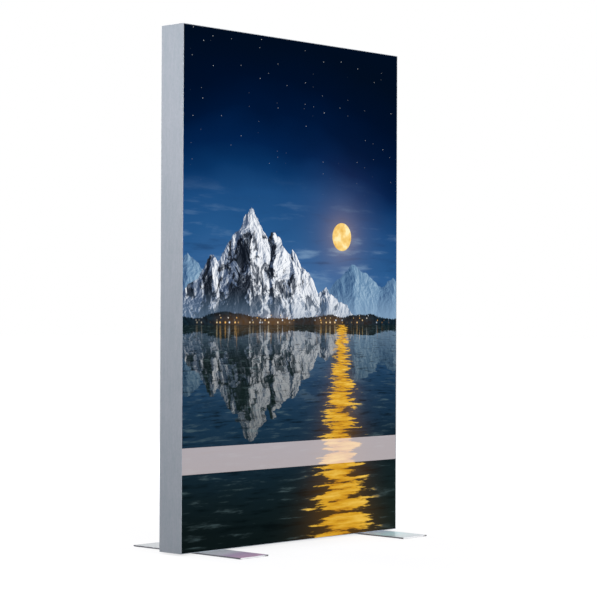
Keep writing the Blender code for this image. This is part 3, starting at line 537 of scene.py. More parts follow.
def point(across, up, deep=0.0):
    """A place from its three numbers, of which the first comes from a node."""
    node = across.tree.nodes.new("ShaderNodeCombineXYZ")
    for value, place in zip((across, up, deep), node.inputs):
        connect(value, place)
    return Place(across.tree, node.outputs[0])


def noise(place, scale, detail=2.0, rough=0.5, distortion=0.0):
    """Smooth noise round 0.5 at a place."""
    node = place.tree.nodes.new("ShaderNodeTexNoise")
    names = ("Vector", "Scale", "Detail", "Roughness", "Distortion")
    for name, value in zip(names, (place, scale, detail, rough, distortion)):
        connect(value, node.inputs[name])
    return Number(place.tree, node.outputs[0])


def cells(place, scale):
    """Scattered spots: how far the nearest one is, and two numbers of its own for each.

    They lie in a plane, or along a line where the place is one Number.
    """
    on_line = isinstance(place, Number)
    node = place.tree.nodes.new("ShaderNodeTexVoronoi")
    node.voronoi_dimensions = "1D" if on_line else "2D"
    connect(place, node.inputs["W" if on_line else "Vector"])
    connect(scale, node.inputs["Scale"])
    split = place.tree.nodes.new("ShaderNodeSeparateColor")
    place.tree.links.new(node.outputs["Color"], split.inputs[0])
    outputs = (node.outputs["Distance"], split.outputs[0], split.outputs[1])
    return [Number(place.tree, output) for output in outputs]


def here(tree):
    """The place on the object, in metres."""
    return Place(tree, tree.nodes.new("ShaderNodeTexCoord").outputs["Object"])


def drawn_out(tree, axis, share):
    """The place on the object, squeezed along an axis. Noise there is drawn out along that axis."""
    parts = here(tree).parts()
    along = "xyz".index(axis)
    parts[along] = parts[along] * share
    return point(*parts)


def new_material(name):
    """An empty material, its node tree and its shader."""
    material = bpy.data.materials.new(name)
    material.use_nodes = True
    tree = material.node_tree
    return material, tree, tree.nodes["Principled BSDF"]


def fill(shader, **values):
    """Sets or links a shader's inputs."""
    for word, value in values.items():
        connect(value, shader.inputs[SHADER_INPUTS[word]])


def relief(shader, height, depth):
    """Bumps the surface by a height from 0 to 1, which stands for this depth in metres."""
    node = height.tree.nodes.new("ShaderNodeBump")
    connect(1.0, node.inputs["Strength"])
    connect(depth, node.inputs["Distance"])
    connect(height, node.inputs["Height"])
    height.tree.links.new(node.outputs["Normal"], shader.inputs["Normal"])


# The picture on the fabrics: a night lake under mountains, with a low golden moon


def sky(across, rise):
    """The sky at a height over the waterline: clear and nearly black above, clouded steel blue below."""
    drift = noise(point(across * 1.2, rise * 2.0, 3.0), scale=2.0) - 0.5
    off_middle = across - SKY_MIDDLE
    colour = painted(rise + drift * 0.16 + off_middle * 0.10 + off_middle.power(2.0) * 0.27, SKY_TONES)
    streaks = noise(point(across * 1.5, rise * 9.0, 7.0), scale=2.4, detail=6.0, rough=0.55)
    lower = rise.step(0.62, 0.20)
    colour = colour.blend(seen(132, 164, 194), streaks.step(0.52, 0.74) * lower * 0.55)
    return colour.blend(seen(22, 52, 92), streaks.step(0.46, 0.26) * lower * 0.60)


def stars(across, up):
    """How bright the small stars in the dark part of the sky are."""
    near, chance, _ = cells(point(across, up), scale=19.0)
    size = chance.step(0.62, 1.0)
    return near.step(0.040, 0.016) * size * (up - WATERLINE).step(0.45, 0.85)


def tents(across, peaks):
    """The outline of several peaks."""
    outline = None
    for place, height, slope in peaks:
        tent = height - abs(across - place) * slope
        outline = tent if outline is None else outline.most(tent)
    return outline


def range_of_peaks(across, rise, peaks, seed, rough):
    """How far a point is below its range's crest, how much it is turned to the light, and its grain."""
    wander = noise(point(across, rise, seed), scale=9.0, detail=4.0) - 0.5
    fine = noise(point(across, seed, seed), scale=22.0, detail=7.0, rough=0.62) - 0.5
    bent = across + wander * 0.10
    depth = tents(bent, peaks) + fine * rough - rise
    turned = tents(bent + SLOPE_STEP, peaks) - tents(bent - SLOPE_STEP, peaks)
    side = turned.step(0.006, -0.006)
    slant = rise * 0.8 + across * 0.25
    left, right = (
        noise(point(across + shift, slant, seed + 5), scale=13.0, detail=8.0, rough=0.62, distortion=0.5)
        for shift in (-RIDGE_STEP, RIDGE_STEP)
    )
    return depth, side, (left - right) * 9.0


def mountains(colour, across, rise):
    """Two ranges over the sky: a far hazy one, and a near one with snow on it."""
    depth, side, grain = range_of_peaks(across, rise, FAR_PEAKS, seed=2.0, rough=0.05)
    far = painted((side * 0.45 + grain * 0.5 + 0.25).clamped(), FAR_TONES)
    far = far.blend(seen(128, 158, 186), rise.step(0.16, 0.0) * 0.85)
    colour = colour.blend(far, depth.step(0.0, 0.004))

    depth, side, grain = range_of_peaks(across, rise, NEAR_PEAKS, seed=11.0, rough=0.055)
    light = (side * 0.62 + grain * 0.9 + 0.20).clamped()
    patches = noise(point(across * 1.6, rise * 1.1, 4.0), scale=11.0, detail=9.0, rough=0.68, distortion=0.8)
    bare = (patches + depth * 0.55 - side * 0.05).step(0.53, 0.60)
    near = painted(light, SNOW_TONES).blend(painted(light, ROCK_TONES), bare)
    near = near.blend(seen(96, 124, 152), rise.step(0.15, 0.0) * 0.55)
    return colour.blend(near, depth.step(0.0, 0.003))


def moon(colour, across, rise, shown):
    """A golden moon that stands low, with a wide glow. Its disc is drawn only where shown is 1."""
    reach = point(across - MOON_ACROSS, rise - MOON_RISE).length()
    colour = colour.plus(seen(214, 160, 70), (reach * 15.0).fall() * 0.42)
    seas = noise(point(across, rise, 1.0), scale=24.0, detail=3.0)
    return colour.blend(painted(seas, MOON_TONES), reach.step(MOON_RADIUS, MOON_RADIUS - MOON_BLUR) * shown)


def shore(colour, across, rise):
    """Dark woods along the water."""
    crowns = noise(point(across, 0.0, 9.0), scale=150.0, detail=3.0, rough=0.7) - 0.5
    hills = noise(point(across, 0.0, 5.0), scale=3.5, detail=3.0) - 0.5
    top = hills * 0.10 + crowns * 0.030 + 0.040
    woods = painted(noise(point(across, rise), scale=60.0, detail=4.0), WOODS_TONES)
    return colour.blend(woods, (top - rise).step(0.0, 0.003))


def village(colour, across, rise, under):
    """Lit windows along the shore. In the water they draw out into streaks."""
    crowd = noise(point(across, 0.0, 2.0), scale=5.0).step(0.40, 0.56)
    for shift, height, count, size in WINDOW_ROWS:
        distance, chance, tone = cells(across + shift, scale=count)
        aside = distance / count
        reach = size + under * 0.030 * chance
        spot = (aside / size).power(2.0).fall() * ((rise - height - under * 0.014) / reach).power(2.0).fall()
        kept = chance.step(0.25, 0.60) * crowd * across.step(1.22, 1.10) * across.step(0.02, 0.20)
        colour = colour.plus(painted(tone, WINDOW_TONES), spot * kept * (1.6 - under * 1.1))
    glow = ((rise - 0.012) / 0.030).power(2.0).fall() * across.step(0.0, 0.5) * across.step(1.2, 0.7)
    return colour.plus(seen(236, 170, 84), glow * (crowd * 0.09 + 0.03))


def build_picture(tree):
    """The picture's colour at each point of a fabric."""
    node = tree.nodes.new("ShaderNodeAttribute")
    node.attribute_name = "picture"
    across, up, _ = Place(tree, node.outputs["Vector"]).parts()
    under = (up - WATERLINE).step(WATERLINE_BLUR, -WATERLINE_BLUR)

    # The water lies flat, so its waves are wider apart the nearer they are
    drop = (WATERLINE - up).most(0.0)
    nearness = drop + HORIZON_NEARNESS
    aside, away = (across - VANISHING_ACROSS) / nearness, nearness.log()
    ripples = noise(point(aside * 2.2, away * 9.0), scale=1.0, detail=6.0, rough=0.66) - 0.5
    swell = noise(point(aside * 0.7, away * 4.0, 6.0), scale=1.0, detail=3.0) - 0.5
    fine = noise(point(aside * 3.5, away * 34.0, 2.0), scale=1.0, detail=4.0, rough=0.6) - 0.5
    chop = ripples * 0.55 + fine * 0.75

    # What stands over the water, and under it its image, swayed by the waves
    sway = (ripples * 0.30 + swell * 0.16) * nearness * under
    image_across = across + sway * 0.35
    image_rise = abs(up - WATERLINE) + sway * 1.1 + abs(sway) * 0.2
    colour = sky(image_across, image_rise)
    colour = colour.plus((1.0, 1.0, 1.0), stars(across, up) * 0.6)
    colour = moon(colour, image_across, image_rise, 1.0 - under)
    colour = mountains(colour, image_across, image_rise)
    colour = shore(colour, image_across, image_rise)
    colour = village(colour, image_across, image_rise, under)

    # Water dims the image, and its waves are pale on one side and dark on the other
    water = colour.blend(seen(20, 34, 31), (1.0 - (drop * 2.6).fall()) * 0.56 + 0.42)
    water = water.blend(seen(6, 9, 12), drop.step(0.50, 0.86) * across.step(1.5, 0.0) * 0.65)
    water = water.blend(seen(104, 128, 132), chop.step(0.03, 0.22) * 0.34)
    water = water.blend(seen(3, 9, 11), chop.step(-0.02, -0.18) * 0.66)

    # The moon's path, wider towards the viewer, with golden glints on the waves
    path = ((across - MOON_ACROSS - swell * 0.08) / (0.030 + drop * 0.19)).power(2.0).fall()
    glints = (chop * 1.3 + path * 0.34).step(0.18, 0.26) * path.step(0.04, 0.30)
    water = water.blend(seen(146, 100, 34), path * 0.30)
    water = water.blend(painted(chop, GOLD_TONES), glints * 0.97)
    colour = colour.blend(water, under)

    band = (up - BAND_LOW).step(0.0, BAND_BLUR) * (up - BAND_HIGH).step(0.0, -BAND_BLUR)
    return colour.blend(seen(255, 242, 245), band * 0.41)


# Materials


def weave(tree):
    """The height of the fabric's knit, from 0 to 1."""
    across, _, up = here(tree).parts()
    pitch = math.tau / WEAVE_PITCH
    return (across * pitch).sine() * (up * pitch).sine() * 0.5 + 0.5


def printed_fabric():
    """Printed polyester that is lit from behind."""
    material, tree, shader = new_material("printed_fabric")
    picture = build_picture(tree)
    fill(shader, colour=picture.times(0.55), glow=picture, glow_strength=0.55, rough=0.8, specular=0.0)
    relief(shader, weave(tree), WEAVE_DEPTH)
    return material


def fabric_back():
    """The fabric's unprinted white back."""
    material, tree, shader = new_material("fabric_back")
    height = weave(tree)
    fill(shader, colour=painted(height, BACK_TONES), rough=0.8)
    relief(shader, height, WEAVE_DEPTH)
    return material


def aluminium(name, along):
    """Satin anodised aluminium with faint lines and streaks along the extrusion."""
    material, tree, shader = new_material(name)
    lines = noise(drawn_out(tree, along, 0.4), scale=260.0, detail=3.0)
    streaks = noise(drawn_out(tree, along, 0.12), scale=95.0, detail=3.0, rough=0.6)
    clouds = noise(here(tree), scale=2.5, detail=3.0)
    fill(
        shader,
        colour=ramp(lines * 0.40 + clouds * 0.25 + streaks * 0.35, ALUMINIUM_TONES),
        rough=lines * 0.10 + clouds * 0.10 + 0.36,
        metallic=0.12,
        specular=0.3,
    )
    relief(shader, lines, GRAIN_DEPTH)
    return material


def mottled(name, dark, pale, scale, rough, metallic=0.0, glow=None):
    """A plain material with a fine uneven tone and grain."""
    material, tree, shader = new_material(name)
    grain = noise(here(tree), scale, detail=4.0)
    broad = noise(here(tree), scale / 14)
    colour = ramp(grain * 0.6 + broad * 0.4, ((0.35, dark), (0.65, pale)))
    fill(shader, colour=colour, rough=grain * 0.16 + (rough - 0.08), metallic=metallic)
    if glow:
        fill(shader, glow=glow, glow_strength=1.0)
    relief(shader, grain, GRAIN_DEPTH)
    return material


def steel_with_painted_light():
    """Steel plate whose colour holds painted reflections that go from grey to lilac, pale blue and white,
    and painted light and shade on its edges.
    """
    material, tree, shader = new_material("foot_steel")
    x, y, _ = here(tree).parts()
    wander = noise(here(tree), scale=7.0, detail=3.0) - 0.5
    rolling = noise(drawn_out(tree, "y", 0.06), scale=420.0, detail=3.0)
    spangle = noise(here(tree), scale=90.0, detail=4.0)
    # The steel's tone, with painted reflections laid across the plate by place
    colour = ramp(x * 0.30 - y + wander * 0.08, STEEL_AND_REFLECTION_TONES)
    colour = colour.blend((0.46, 0.48, 0.53), (rolling * 0.6 + spangle * 0.4).step(0.52, 0.30) * 0.30)

    # Both plates have this material, so x is measured from the middle of the plate that it is on
    facing = Place(tree, tree.nodes.new("ShaderNodeTexCoord").outputs["Normal"])
    facing_x, facing_y, _ = facing.parts()
    local = x - (x.step(-0.001, 0.001) * 2.0 - 1.0) * PLATE_MIDDLE
    shaded_rim = abs(local).step(PLATE_HALF - SHADED_RIM_START, PLATE_HALF - SHADED_RIM_FULL)
    on_end = abs(facing_y).step(0.5, 0.8)
    shaded_tip = on_end * local.step(PLATE_HALF - SHADED_TIP_START, PLATE_HALF - SHADED_TIP_FULL)
    # Painted shade: the plate's top goes darker along its long sides
    colour = colour.blend((0.30, 0.31, 0.36), shaded_rim * 0.6)
    # Painted shade: the faces on the plate's long sides are made nearly black
    colour = colour.blend((0.12, 0.12, 0.15), abs(facing_x).step(0.5, 0.8))
    # Painted highlight: the plate's end faces are made nearly white
    colour = colour.blend((0.92, 0.93, 0.95), on_end)
    # Painted shade: a dark tip at the right-hand corner of each end face
    colour = colour.blend((0.05, 0.05, 0.06), shaded_tip)
    fill(shader, colour=colour, rough=rolling * 0.14 + spangle * 0.08 + 0.22, metallic=0.15, specular=0.8)
    relief(shader, rolling, ROLLING_DEPTH)
    return material


def clear_acrylic():
    """Moulded clear acrylic, a little wavy."""
    material, tree, shader = new_material("lens_acrylic")
    waves = noise(here(tree), scale=160.0, detail=3.0)
    fill(shader, colour=ramp(waves, ACRYLIC_TONES), rough=waves * 0.10 + 0.04, clear=0.85, bend=1.49)
    relief(shader, waves, GRAIN_DEPTH)
    return material


def build_finishes():
    """Every material but the fabrics', by its name."""
    finishes = {name: mottled(name, *values) for name, values in PLAIN_FINISHES.items()}
    finishes["anodised_upright"] = aluminium("anodised_upright", "z")
    finishes["anodised_rail"] = aluminium("anodised_rail", "x")
    finishes["foot_steel"] = steel_with_painted_light()
    finishes["lens_acrylic"] = clear_acrylic()
    return finishes


def soften(node):
    """Rounds a CAD node's sharp edges, without a change to its mesh."""
    weld = node.modifiers.new("weld", "WELD")
    weld.merge_threshold = WELD_REACH
    flat = node.modifiers.new("flat", "DECIMATE")
    flat.decimate_type = "DISSOLVE"
    flat.angle_limit = FLAT_ANGLE
    bevel = node.modifiers.new("soft", "BEVEL")
    bevel.width = SOFT_WIDTH
    bevel.segments = 2
    bevel.limit_method = "ANGLE"
    bevel.angle_limit = SOFT_ANGLE


def finish_nodes(finishes):
    """Gives every CAD node that stays in view its material."""
    for name, node in NODES.items():
        for word, finish in NODE_FINISHES.items():
            if word in name:
                node.data.materials.clear()
                node.data.materials.append(finishes[finish])
                break
        if any(word in name for word in SOFTENED):
            soften(node)


# Making pieces


def put(name, data):
    """Adds an object to the scene."""
    thing = bpy.data.objects.new(name, data)
    bpy.context.scene.collection.objects.link(thing)
    return thing


def finished_mesh(name, shape, materials):
    """A mesh from a shape, which is used up, with its materials."""
    mesh = bpy.data.meshes.new(name)
    shape.to_mesh(mesh)
    shape.free()
    for material in materials:
        mesh.materials.append(material)
    return mesh


def add_piece(name, shape, materials, body):
    """Makes a piece that rides on a body, from a shape in the CAD's frame."""
    bmesh.ops.recalc_face_normals(shape, faces=shape.faces)

    # A bevel leaves its faces in another order each run, so they are sorted along the skew direction
    shape.faces.sort(key=lambda face: face.calc_center_median().dot(SKEW))
    thing = put(name, finished_mesh(name, shape, materials))
    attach(thing, body)
    return thing


def loft(shape, rings, closed=False, smooth=False):
    """A skin over rings of points, with its ends filled, or joined to each other where it is closed."""
    made = [[shape.verts.new(spot) for spot in ring] for ring in rings]
    following = made[1:] + made[:1] if closed else made[1:]
    for near, far in zip(made, following):
        for i in range(len(near)):
            j = (i + 1) % len(near)
            shape.faces.new((near[i], near[j], far[j], far[i])).smooth = smooth
    if not closed:
        shape.faces.new(made[0])
        shape.faces.new(made[-1])


def block(shape, low, high, edge=0.0, tone=0):
    """A box between two corners, with its edges rounded."""
    made = bmesh.ops.create_cube(shape, size=1.0)["verts"]
    for vert in made:
        vert.co = [a + (c + 0.5) * (b - a) for a, b, c in zip(low, high, vert.co)]
    for vert in made:
        for face in vert.link_faces:
            face.material_index = tone
    if edge:
        edges = list(dict.fromkeys(e for vert in made for e in vert.link_edges))
        bmesh.ops.bevel(
            shape, geom=edges, offset=edge, segments=2, profile=0.5, affect="EDGES", material=tone
        )


def oval(place, across, up, sides=24):
    """A ring of points round the x direction."""
    x, y, z = place
    turns = [math.tau * i / sides for i in range(sides)]
    return [(x, y + across * math.cos(turn), z + up * math.sin(turn)) for turn in turns]


def around_frame(inward, depth):
    """The corners of a rectangle round the frame, this far inward and at this depth."""
    reach = FRAME_WIDTH / 2 - inward
    rise = FRAME_HEIGHT / 2 - inward
    return [(reach * a, depth, FRAME_MIDDLE + rise * b) for a, b in SQUARE]


# The fabrics, with their silicone and stitches


def spaced(low, high, step):
    """Places from low to high, about step apart."""
    count = max(1, round((high - low) / step))
    return [low + (high - low) * i / count for i in range(count + 1)]


def fabric_line(half):
    """Where the cloth's grid lines run across one direction, as (place on the face, way down the hem)."""
    edge = half - WALL - FABRIC_SIDE_GAP - FABRIC_THICKNESS / 2
    flat = edge - FABRIC_FOLD
    inner = half - CREST - PUCKER_REACH
    fine = spaced(inner, flat, FABRIC_EDGE_STEP)[1:]
    places = [-value for value in reversed(fine)] + spaced(-inner, inner, FABRIC_STEP) + fine
    line = [(value, 0.0) for value in places]
    for sign in (1, -1):
        fold = []
        for angle in FOLD_ANGLES:
            turn = math.radians(angle)
            out = sign * (flat + FABRIC_FOLD * math.sin(turn))
            fold.append((out, FABRIC_FOLD * (1 - math.cos(turn))))
        for down in spaced(FABRIC_FOLD, FABRIC_HEM, HEM_STEP)[1:]:
            fold.append((sign * edge, down))
        line = line + fold if sign > 0 else fold[::-1] + line
    return line


def fabric_depth(across, up, down):
    """How far a fabric's point is from the frame's middle: it bows a little, and puckers at its edge."""
    to_side, to_end = FRAME_WIDTH / 2 - abs(across), FRAME_HEIGHT / 2 - abs(up)
    inward = min(to_side, to_end)
    free = max(0.0, inward - CREST)
    bow = BOW_DEPTH * (1 - math.exp(-free / BOW_REACH))
    depth = FACE - FABRIC_SETBACK - FABRIC_THICKNESS / 2 - bow - down
    if down == 0:
        along = up if to_side < to_end else across
        share = math.exp(-inward / PUCKER_REACH * PUCKER_FALL)
        depth += PUCKER_DEPTH * share * (math.sin(math.tau * along / PUCKER_PITCH) - 1)
    return depth


def fabric_grid(shape, sign):
    """A fabric's points in rows from the bottom up, each with its place in the picture."""
    store = shape.verts.layers.float_vector.new("picture")
    columns, rows = fabric_line(FRAME_WIDTH / 2), fabric_line(FRAME_HEIGHT / 2)
    grid = []
    for up, up_down in rows:
        line = []
        for across, across_down in columns:
            depth = fabric_depth(across, up, max(across_down, up_down))
            vert = shape.verts.new((across, sign * depth, FRAME_MIDDLE + up))
            vert[store] = (sign * -across + PICTURE_WIDTH / 2, up + PICTURE_HEIGHT / 2, 0)
            line.append(vert)
        grid.append(line)
    return grid


def join_grid(shape, grid):
    """Makes the faces between a grid's points, apart from those where two hems cross at a corner."""
    corner_x, corner_z = FRAME_WIDTH / 2 - FABRIC_CORNER, FRAME_HEIGHT / 2 - FABRIC_CORNER
    for lower, upper in zip(grid, grid[1:]):
        for i in range(len(lower) - 1):
            corners = [lower[i], lower[i + 1], upper[i + 1], upper[i]]
            beyond_x = all(abs(vert.co.x) > corner_x for vert in corners)
            beyond_z = all(abs(vert.co.z - FRAME_MIDDLE) > corner_z for vert in corners)
            if not (beyond_x and beyond_z):
                shape.faces.new(corners)


def close_hem(shape, grid):
    """Joins the hem's two sides at each corner, where they are sewn together."""
    last = HEM_LINES - 1
    for rows in (grid[last::-1], grid[-last - 1 :]):
        for cut in ([line[last::-1] for line in rows], [line[-last - 1 :] for line in rows]):
            for k in range(last):
                ring = [cut[k][0], cut[0][k], cut[0][k + 1], cut[k + 1][0]]
                shape.faces.new(list(dict.fromkeys(ring)))
    loose = [vert for vert in shape.verts if not vert.link_faces]
    bmesh.ops.delete(shape, geom=loose, context="VERTS")


def face_outwards(shape, middle, sign):
    """Turns all of a sheet's faces the way its middle has to look."""
    bmesh.ops.recalc_face_normals(shape, faces=shape.faces)
    if middle.link_faces[0].normal.y * sign < 0:
        bmesh.ops.reverse_faces(shape, faces=shape.faces)


def build_fabric(face, printed, back):
    """A printed fabric, stretched over a face, with its hem turned down into the groove."""
    shape = bmesh.new()
    grid = fabric_grid(shape, SIGN[face])
    join_grid(shape, grid)
    close_hem(shape, grid)
    face_outwards(shape, grid[len(grid) // 2][len(grid[0]) // 2], SIGN[face])
    mesh = finished_mesh(f"{face}_cloth", shape, [printed, back])
    mesh.shade_smooth()
    cloth = put(f"{face}_cloth", mesh)
    thick = cloth.modifiers.new("thickness", "SOLIDIFY")
    thick.thickness = FABRIC_THICKNESS
    thick.offset = 0
    thick.material_offset = 1
    thick.material_offset_rim = 1
    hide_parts(f"{face}_fabric")
    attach(cloth, f"{face}_graphic")


def build_silicone(face, silicone):
    """The silicone edge round a fabric, with teeth that grip the groove's inner wall."""
    section = [
        (SILICONE_OUTER, SILICONE_HIGH - SILICONE_EDGE),
        (SILICONE_OUTER + SILICONE_EDGE, SILICONE_HIGH),
        (SILICONE_INNER - SILICONE_EDGE, SILICONE_HIGH),
        (SILICONE_INNER, SILICONE_HIGH - SILICONE_EDGE),
    ]
    root = SILICONE_INNER - TOOTH_DEPTH
    for i in range(TOOTH_COUNT):
        top = TOOTH_FIRST - TOOTH_PITCH * i
        for share, at_tip in TOOTH_OUTLINE:
            section.append((SILICONE_INNER if at_tip else root, top - TOOTH_PITCH * share))
    section.append((root, SILICONE_LOW + SILICONE_EDGE))
    section.append((root - SILICONE_EDGE, SILICONE_LOW))
    section.append((SILICONE_OUTER + SILICONE_EDGE, SILICONE_LOW))
    section.append((SILICONE_OUTER, SILICONE_LOW + SILICONE_EDGE))
    shape = bmesh.new()
    loft(shape, [around_frame(inward, SIGN[face] * depth) for inward, depth in section], closed=True)
    strip = add_piece(f"{face}_silicone_strip", shape, [silicone], f"{face}_graphic")
    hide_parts(f"{face}_silicone_edge")


def build_stitches(face, thread):
    """The row of stitches on the hem's outer side."""
    hem = WALL + FABRIC_SIDE_GAP
    shape = bmesh.new()
    for half, other, along_x in (
        (FRAME_WIDTH / 2, FRAME_HEIGHT / 2, True),
        (FRAME_HEIGHT / 2, FRAME_WIDTH / 2, False),
    ):
        count = int(2 * (half - CREST) / STITCH_PITCH)
        for side in (-1, 1):
            for i in range(count):
                middle = (i - (count - 1) / 2) * STITCH_PITCH
                verts = []
                for length, width, height in STITCH_POINTS:
                    along = middle + length * STITCH_LENGTH / 2
                    out = side * (other - hem + height * STITCH_HEIGHT)
                    x, z = (along, out) if along_x else (out, along)
                    y = SIGN[face] * (STITCH_LINE + width * STITCH_WIDTH / 2)
                    verts.append(shape.verts.new((x, y, FRAME_MIDDLE + z)))
                for corners in STITCH_FACES:
                    shape.faces.new([verts[k] for k in corners])
    add_piece(f"{face}_stitches", shape, [thread], f"{face}_graphic")


# The small pieces inside


def led_heights(span):
    """How high each LED of a board is."""
    first = (span[0] + span[1]) / 2 - LENS_PITCH * (LENS_COUNT - 1) / 2
    return [first + LENS_PITCH * i for i in range(LENS_COUNT)]


def build_chips(finishes):
    """The LEDs under their lenses, and a resistor beside each."""
    shape = bmesh.new()
    for side in (-1, 1):
        for height in [value for span in BOARD_SPANS.values() for value in led_heights(span)]:
            for tone, (_, width, length, thickness, place) in enumerate(CHIP_PARTS):
                near, far = sorted((side * BOARD_TOP, side * (BOARD_TOP - thickness)))
                block(
                    shape,
                    (near, place - width / 2, height - length / 2),
                    (far, place + width / 2, height + length / 2),
                    tone=tone,
                )
    materials = [finishes[part[0]] for part in CHIP_PARTS]
    add_piece("led_chips", shape, materials, "frame")


def build_lenses(acrylic):
    """The clear strips over the LED boards, with a dome over each LED."""
    root = STRIP_FACE + DOME_SINK
    for side in ("left", "right"):
        for half, span in BOARD_SPANS.items():
            shape = bmesh.new()
            near, far = sorted((SIGN[side] * STRIP_BASE, SIGN[side] * STRIP_FACE))
            block(
                shape,
                (near, -STRIP_WIDTH / 2, span[0] + STRIP_MARGIN),
                (far, STRIP_WIDTH / 2, span[1] - STRIP_MARGIN),
                edge=STRIP_EDGE,
            )
            for height in led_heights(span):
                rings = []
                for ring in range(DOME_RINGS):
                    turn = math.pi / 2 * ring / DOME_RINGS
                    out = SIGN[side] * (root - (root - DOME_TOP) * math.sin(turn))
                    reach = DOME_RADIUS * math.cos(turn)
                    rings.append(oval((out, 0.0, height), reach, reach, DOME_SIDES))
                loft(shape, rings, smooth=True)
            strip = add_piece(f"led_lens_strip_{side}_{half}", shape, [acrylic], "frame")
            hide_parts(f"led_lenses_{side}_{half}")


def build_driver_caps(black):
    """The driver's end caps, each with a ribbed boot for the leads."""
    shape = bmesh.new()
    for end, out in DRIVER_ENDS:
        near, far = sorted((end, end + out * CAP_THICKNESS))
        block(
            shape,
            (near, DRIVER_LOW.y + CAP_MARGIN, CAP_LOW + CAP_MARGIN),
            (far, DRIVER_HIGH.y - CAP_MARGIN, DRIVER_HIGH.z - CAP_MARGIN),
            edge=CAP_EDGE,
        )
    for (end, out), (across, up) in zip(DRIVER_ENDS, BOOT_SIZES):
        rings = []
        for reach, share in BOOT_OUTLINE:
            x = end + out * (CAP_THICKNESS + reach - BOOT_SINK)
            wide = across * (1 - BOOT_TAPER * (1 - share))
            rings.append(oval((x, 0.0, LEAD_HEIGHT), wide, up * share))
        loft(shape, rings)
    add_piece("driver_caps", shape, [black], "frame")


def build_cap_screws(zinc):
    """The end caps' screws."""
    shape = bmesh.new()
    for end, out in DRIVER_ENDS:
        base = end + out * (CAP_THICKNESS - CAP_SCREW_SINK)
        for y in (DRIVER_LOW.y + CAP_SCREW_INSET, DRIVER_HIGH.y - CAP_SCREW_INSET):
            for z in (CAP_LOW + CAP_SCREW_INSET, DRIVER_HIGH.z - CAP_SCREW_INSET):
                rings = [
                    oval((base + out * rise, y, z), radius, radius, CAP_SCREW_SIDES)
                    for rise, radius in CAP_SCREW_OUTLINE
                ]
                loft(shape, rings)
    add_piece("driver_cap_screws", shape, [zinc], "frame")


def build_fins(case):
    """The fins along the top of the driver's case."""
    shape = bmesh.new()
    for i in range(FIN_COUNT):
        middle = (i - (FIN_COUNT - 1) / 2) * FIN_PITCH
        block(
            shape,
            (DRIVER_LOW.x + FIN_MARGIN, middle - FIN_WIDTH / 2, DRIVER_HIGH.z - FIN_SINK),
            (DRIVER_HIGH.x - FIN_MARGIN, middle + FIN_WIDTH / 2, DRIVER_HIGH.z + FIN_HEIGHT),
            edge=FIN_EDGE,
        )
    add_piece("driver_fins", shape, [case], "frame")


def on_rocker(end, across, up, rise):
    """A point on a face of the rocker, by its place from the face's middle. The face is at end, -1 or 1."""
    dip = ROCKER_HALF * math.tan(ROCKER_TILT)
    middle = Vector((ROCKER_FACE - dip / 2, 0, end * ROCKER_HALF / 2))
    along = Vector((end * math.sin(ROCKER_TILT), 0, math.cos(ROCKER_TILT)))
    out = Vector((math.cos(ROCKER_TILT), 0, -end * math.sin(ROCKER_TILT)))
    place = middle + Vector((0, across, 0)) + along * up + out * rise
    return ROCKER_PIVOT + Matrix.Rotation(ROCKER_TILT, 3, "Y") @ place


def build_marks(paint):
    """The rocker's two marks: a bar on the end that is pressed in, and a ring on the other."""
    shape = bmesh.new()
    bar = [(a * MARK_STROKE / 2, b * MARK_RADIUS) for a, b in SQUARE]
    loft(shape, [[on_rocker(-1, a, b, rise) for a, b in bar] for rise in (-MARK_HEIGHT, MARK_HEIGHT)])

    middle = MARK_RADIUS - MARK_STROKE / 2
    section = [(middle + a * MARK_STROKE / 2, b * MARK_HEIGHT) for a, b in SQUARE]
    rings = []
    for i in range(MARK_SIDES):
        turn = math.tau * i / MARK_SIDES
        rings.append(
            [on_rocker(1, reach * math.cos(turn), reach * math.sin(turn), rise) for reach, rise in section]
        )
    loft(shape, rings, closed=True)
    add_piece("rocker_marks", shape, [paint], "switch")


# The studio


def looked_at(tree):
    """1 for a ray that looks at a surface, also in a mirror or through glass, and 0 for any other."""
    rays = tree.nodes.new("ShaderNodeLightPath")
    camera, mirror, glass = (
        Number(tree, rays.outputs[f"Is {kind} Ray"]) for kind in ("Camera", "Glossy", "Transmission")
    )
    return camera.most(mirror).most(glass)


def build_world():
    """A background that looks white and gives a little light."""
    world = bpy.data.worlds.new("studio")
    bpy.context.scene.world = world
    world.use_nodes = True
    background = world.node_tree.nodes["Background"]
    connect((1, 1, 1), background.inputs["Color"])
    strength = looked_at(world.node_tree) * (1 - WORLD_LIGHT) + WORLD_LIGHT
    connect(strength, background.inputs["Strength"])


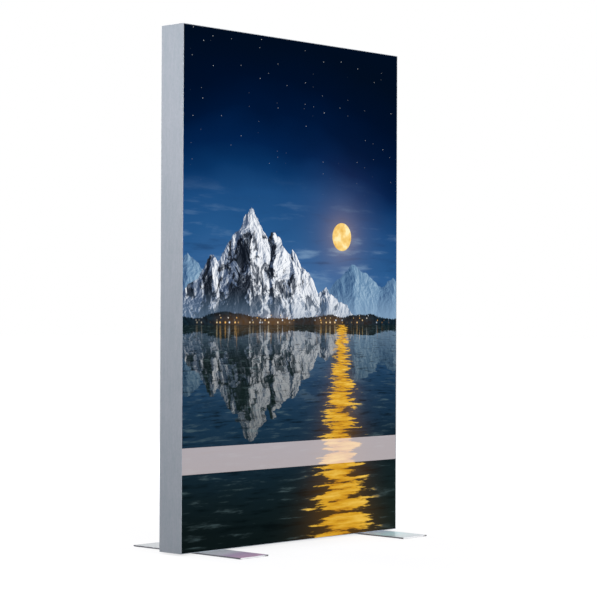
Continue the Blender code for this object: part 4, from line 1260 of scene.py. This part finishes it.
def build_floor():
    """A pale floor that goes over into the background, with the object's shadow on it."""
    material, tree, shader = new_material("pale_floor")
    tint = noise(here(tree), scale=1.5, detail=3.0)
    x, y, _ = here(tree).parts()
    away = (x.power(2.0) + y.power(2.0)).power(0.5)
    white = away.step(*FLOOR_FADE) * (FLOOR_FAR - FLOOR_NEAR) + FLOOR_NEAR
    fill(
        shader,
        colour=ramp(tint, FLOOR_TONES),
        rough=0.9,
        specular=0.0,
        glow=(1, 1, 1),
        glow_strength=looked_at(tree) * white,
    )
    shape = bmesh.new()
    shape.faces.new([shape.verts.new((a * FLOOR_HALF, b * FLOOR_HALF, 0)) for a, b in SQUARE])
    put("floor", finished_mesh("floor", shape, [material]))


def build_lamps():
    """Soft lamps in front, behind and on both sides."""
    for name, place, aim, power, width in LAMPS:
        data = bpy.data.lights.new(name, "AREA")
        data.energy = power
        data.shape = "SQUARE"
        data.size = width
        lamp = put(name, data)
        lamp.location = place
        lamp.rotation_mode = "QUATERNION"
        lamp.rotation_quaternion = (Vector(aim) - Vector(place)).to_track_quat("-Z", "Y")


def build_camera():
    """The camera where the photograph's was."""
    data = bpy.data.cameras.new("camera")
    data.lens = CAMERA_LENS
    data.sensor_width = SENSOR_WIDTH
    camera = put("camera", data)
    camera.matrix_world = (
        Matrix.Translation(CAMERA_PLACE)
        @ Matrix.Rotation(CAMERA_HEADING, 4, "Z")
        @ Matrix.Rotation(math.pi / 2 + CAMERA_TILT, 4, "X")
        @ Matrix.Rotation(CAMERA_ROLL, 4, "Z")
    )
    bpy.context.scene.camera = camera


def main():
    build_camera()
    build_world()
    build_floor()
    build_lamps()
    bpy.context.scene.view_settings.view_transform = "Standard"
    finishes = build_finishes()
    finish_nodes(finishes)
    printed, back = printed_fabric(), fabric_back()
    for face in ("front", "rear"):
        build_fabric(face, printed, back)
    for face in ("front", "rear"):
        build_silicone(face, finishes["silicone"])
        build_stitches(face, finishes["thread"])
    build_chips(finishes)
    build_lenses(finishes["lens_acrylic"])
    build_driver_caps(finishes["black_plastic"])
    build_cap_screws(finishes["zinc_plated_steel"])
    build_fins(finishes["driver_case"])
    build_marks(finishes["white_plastic"])


main()
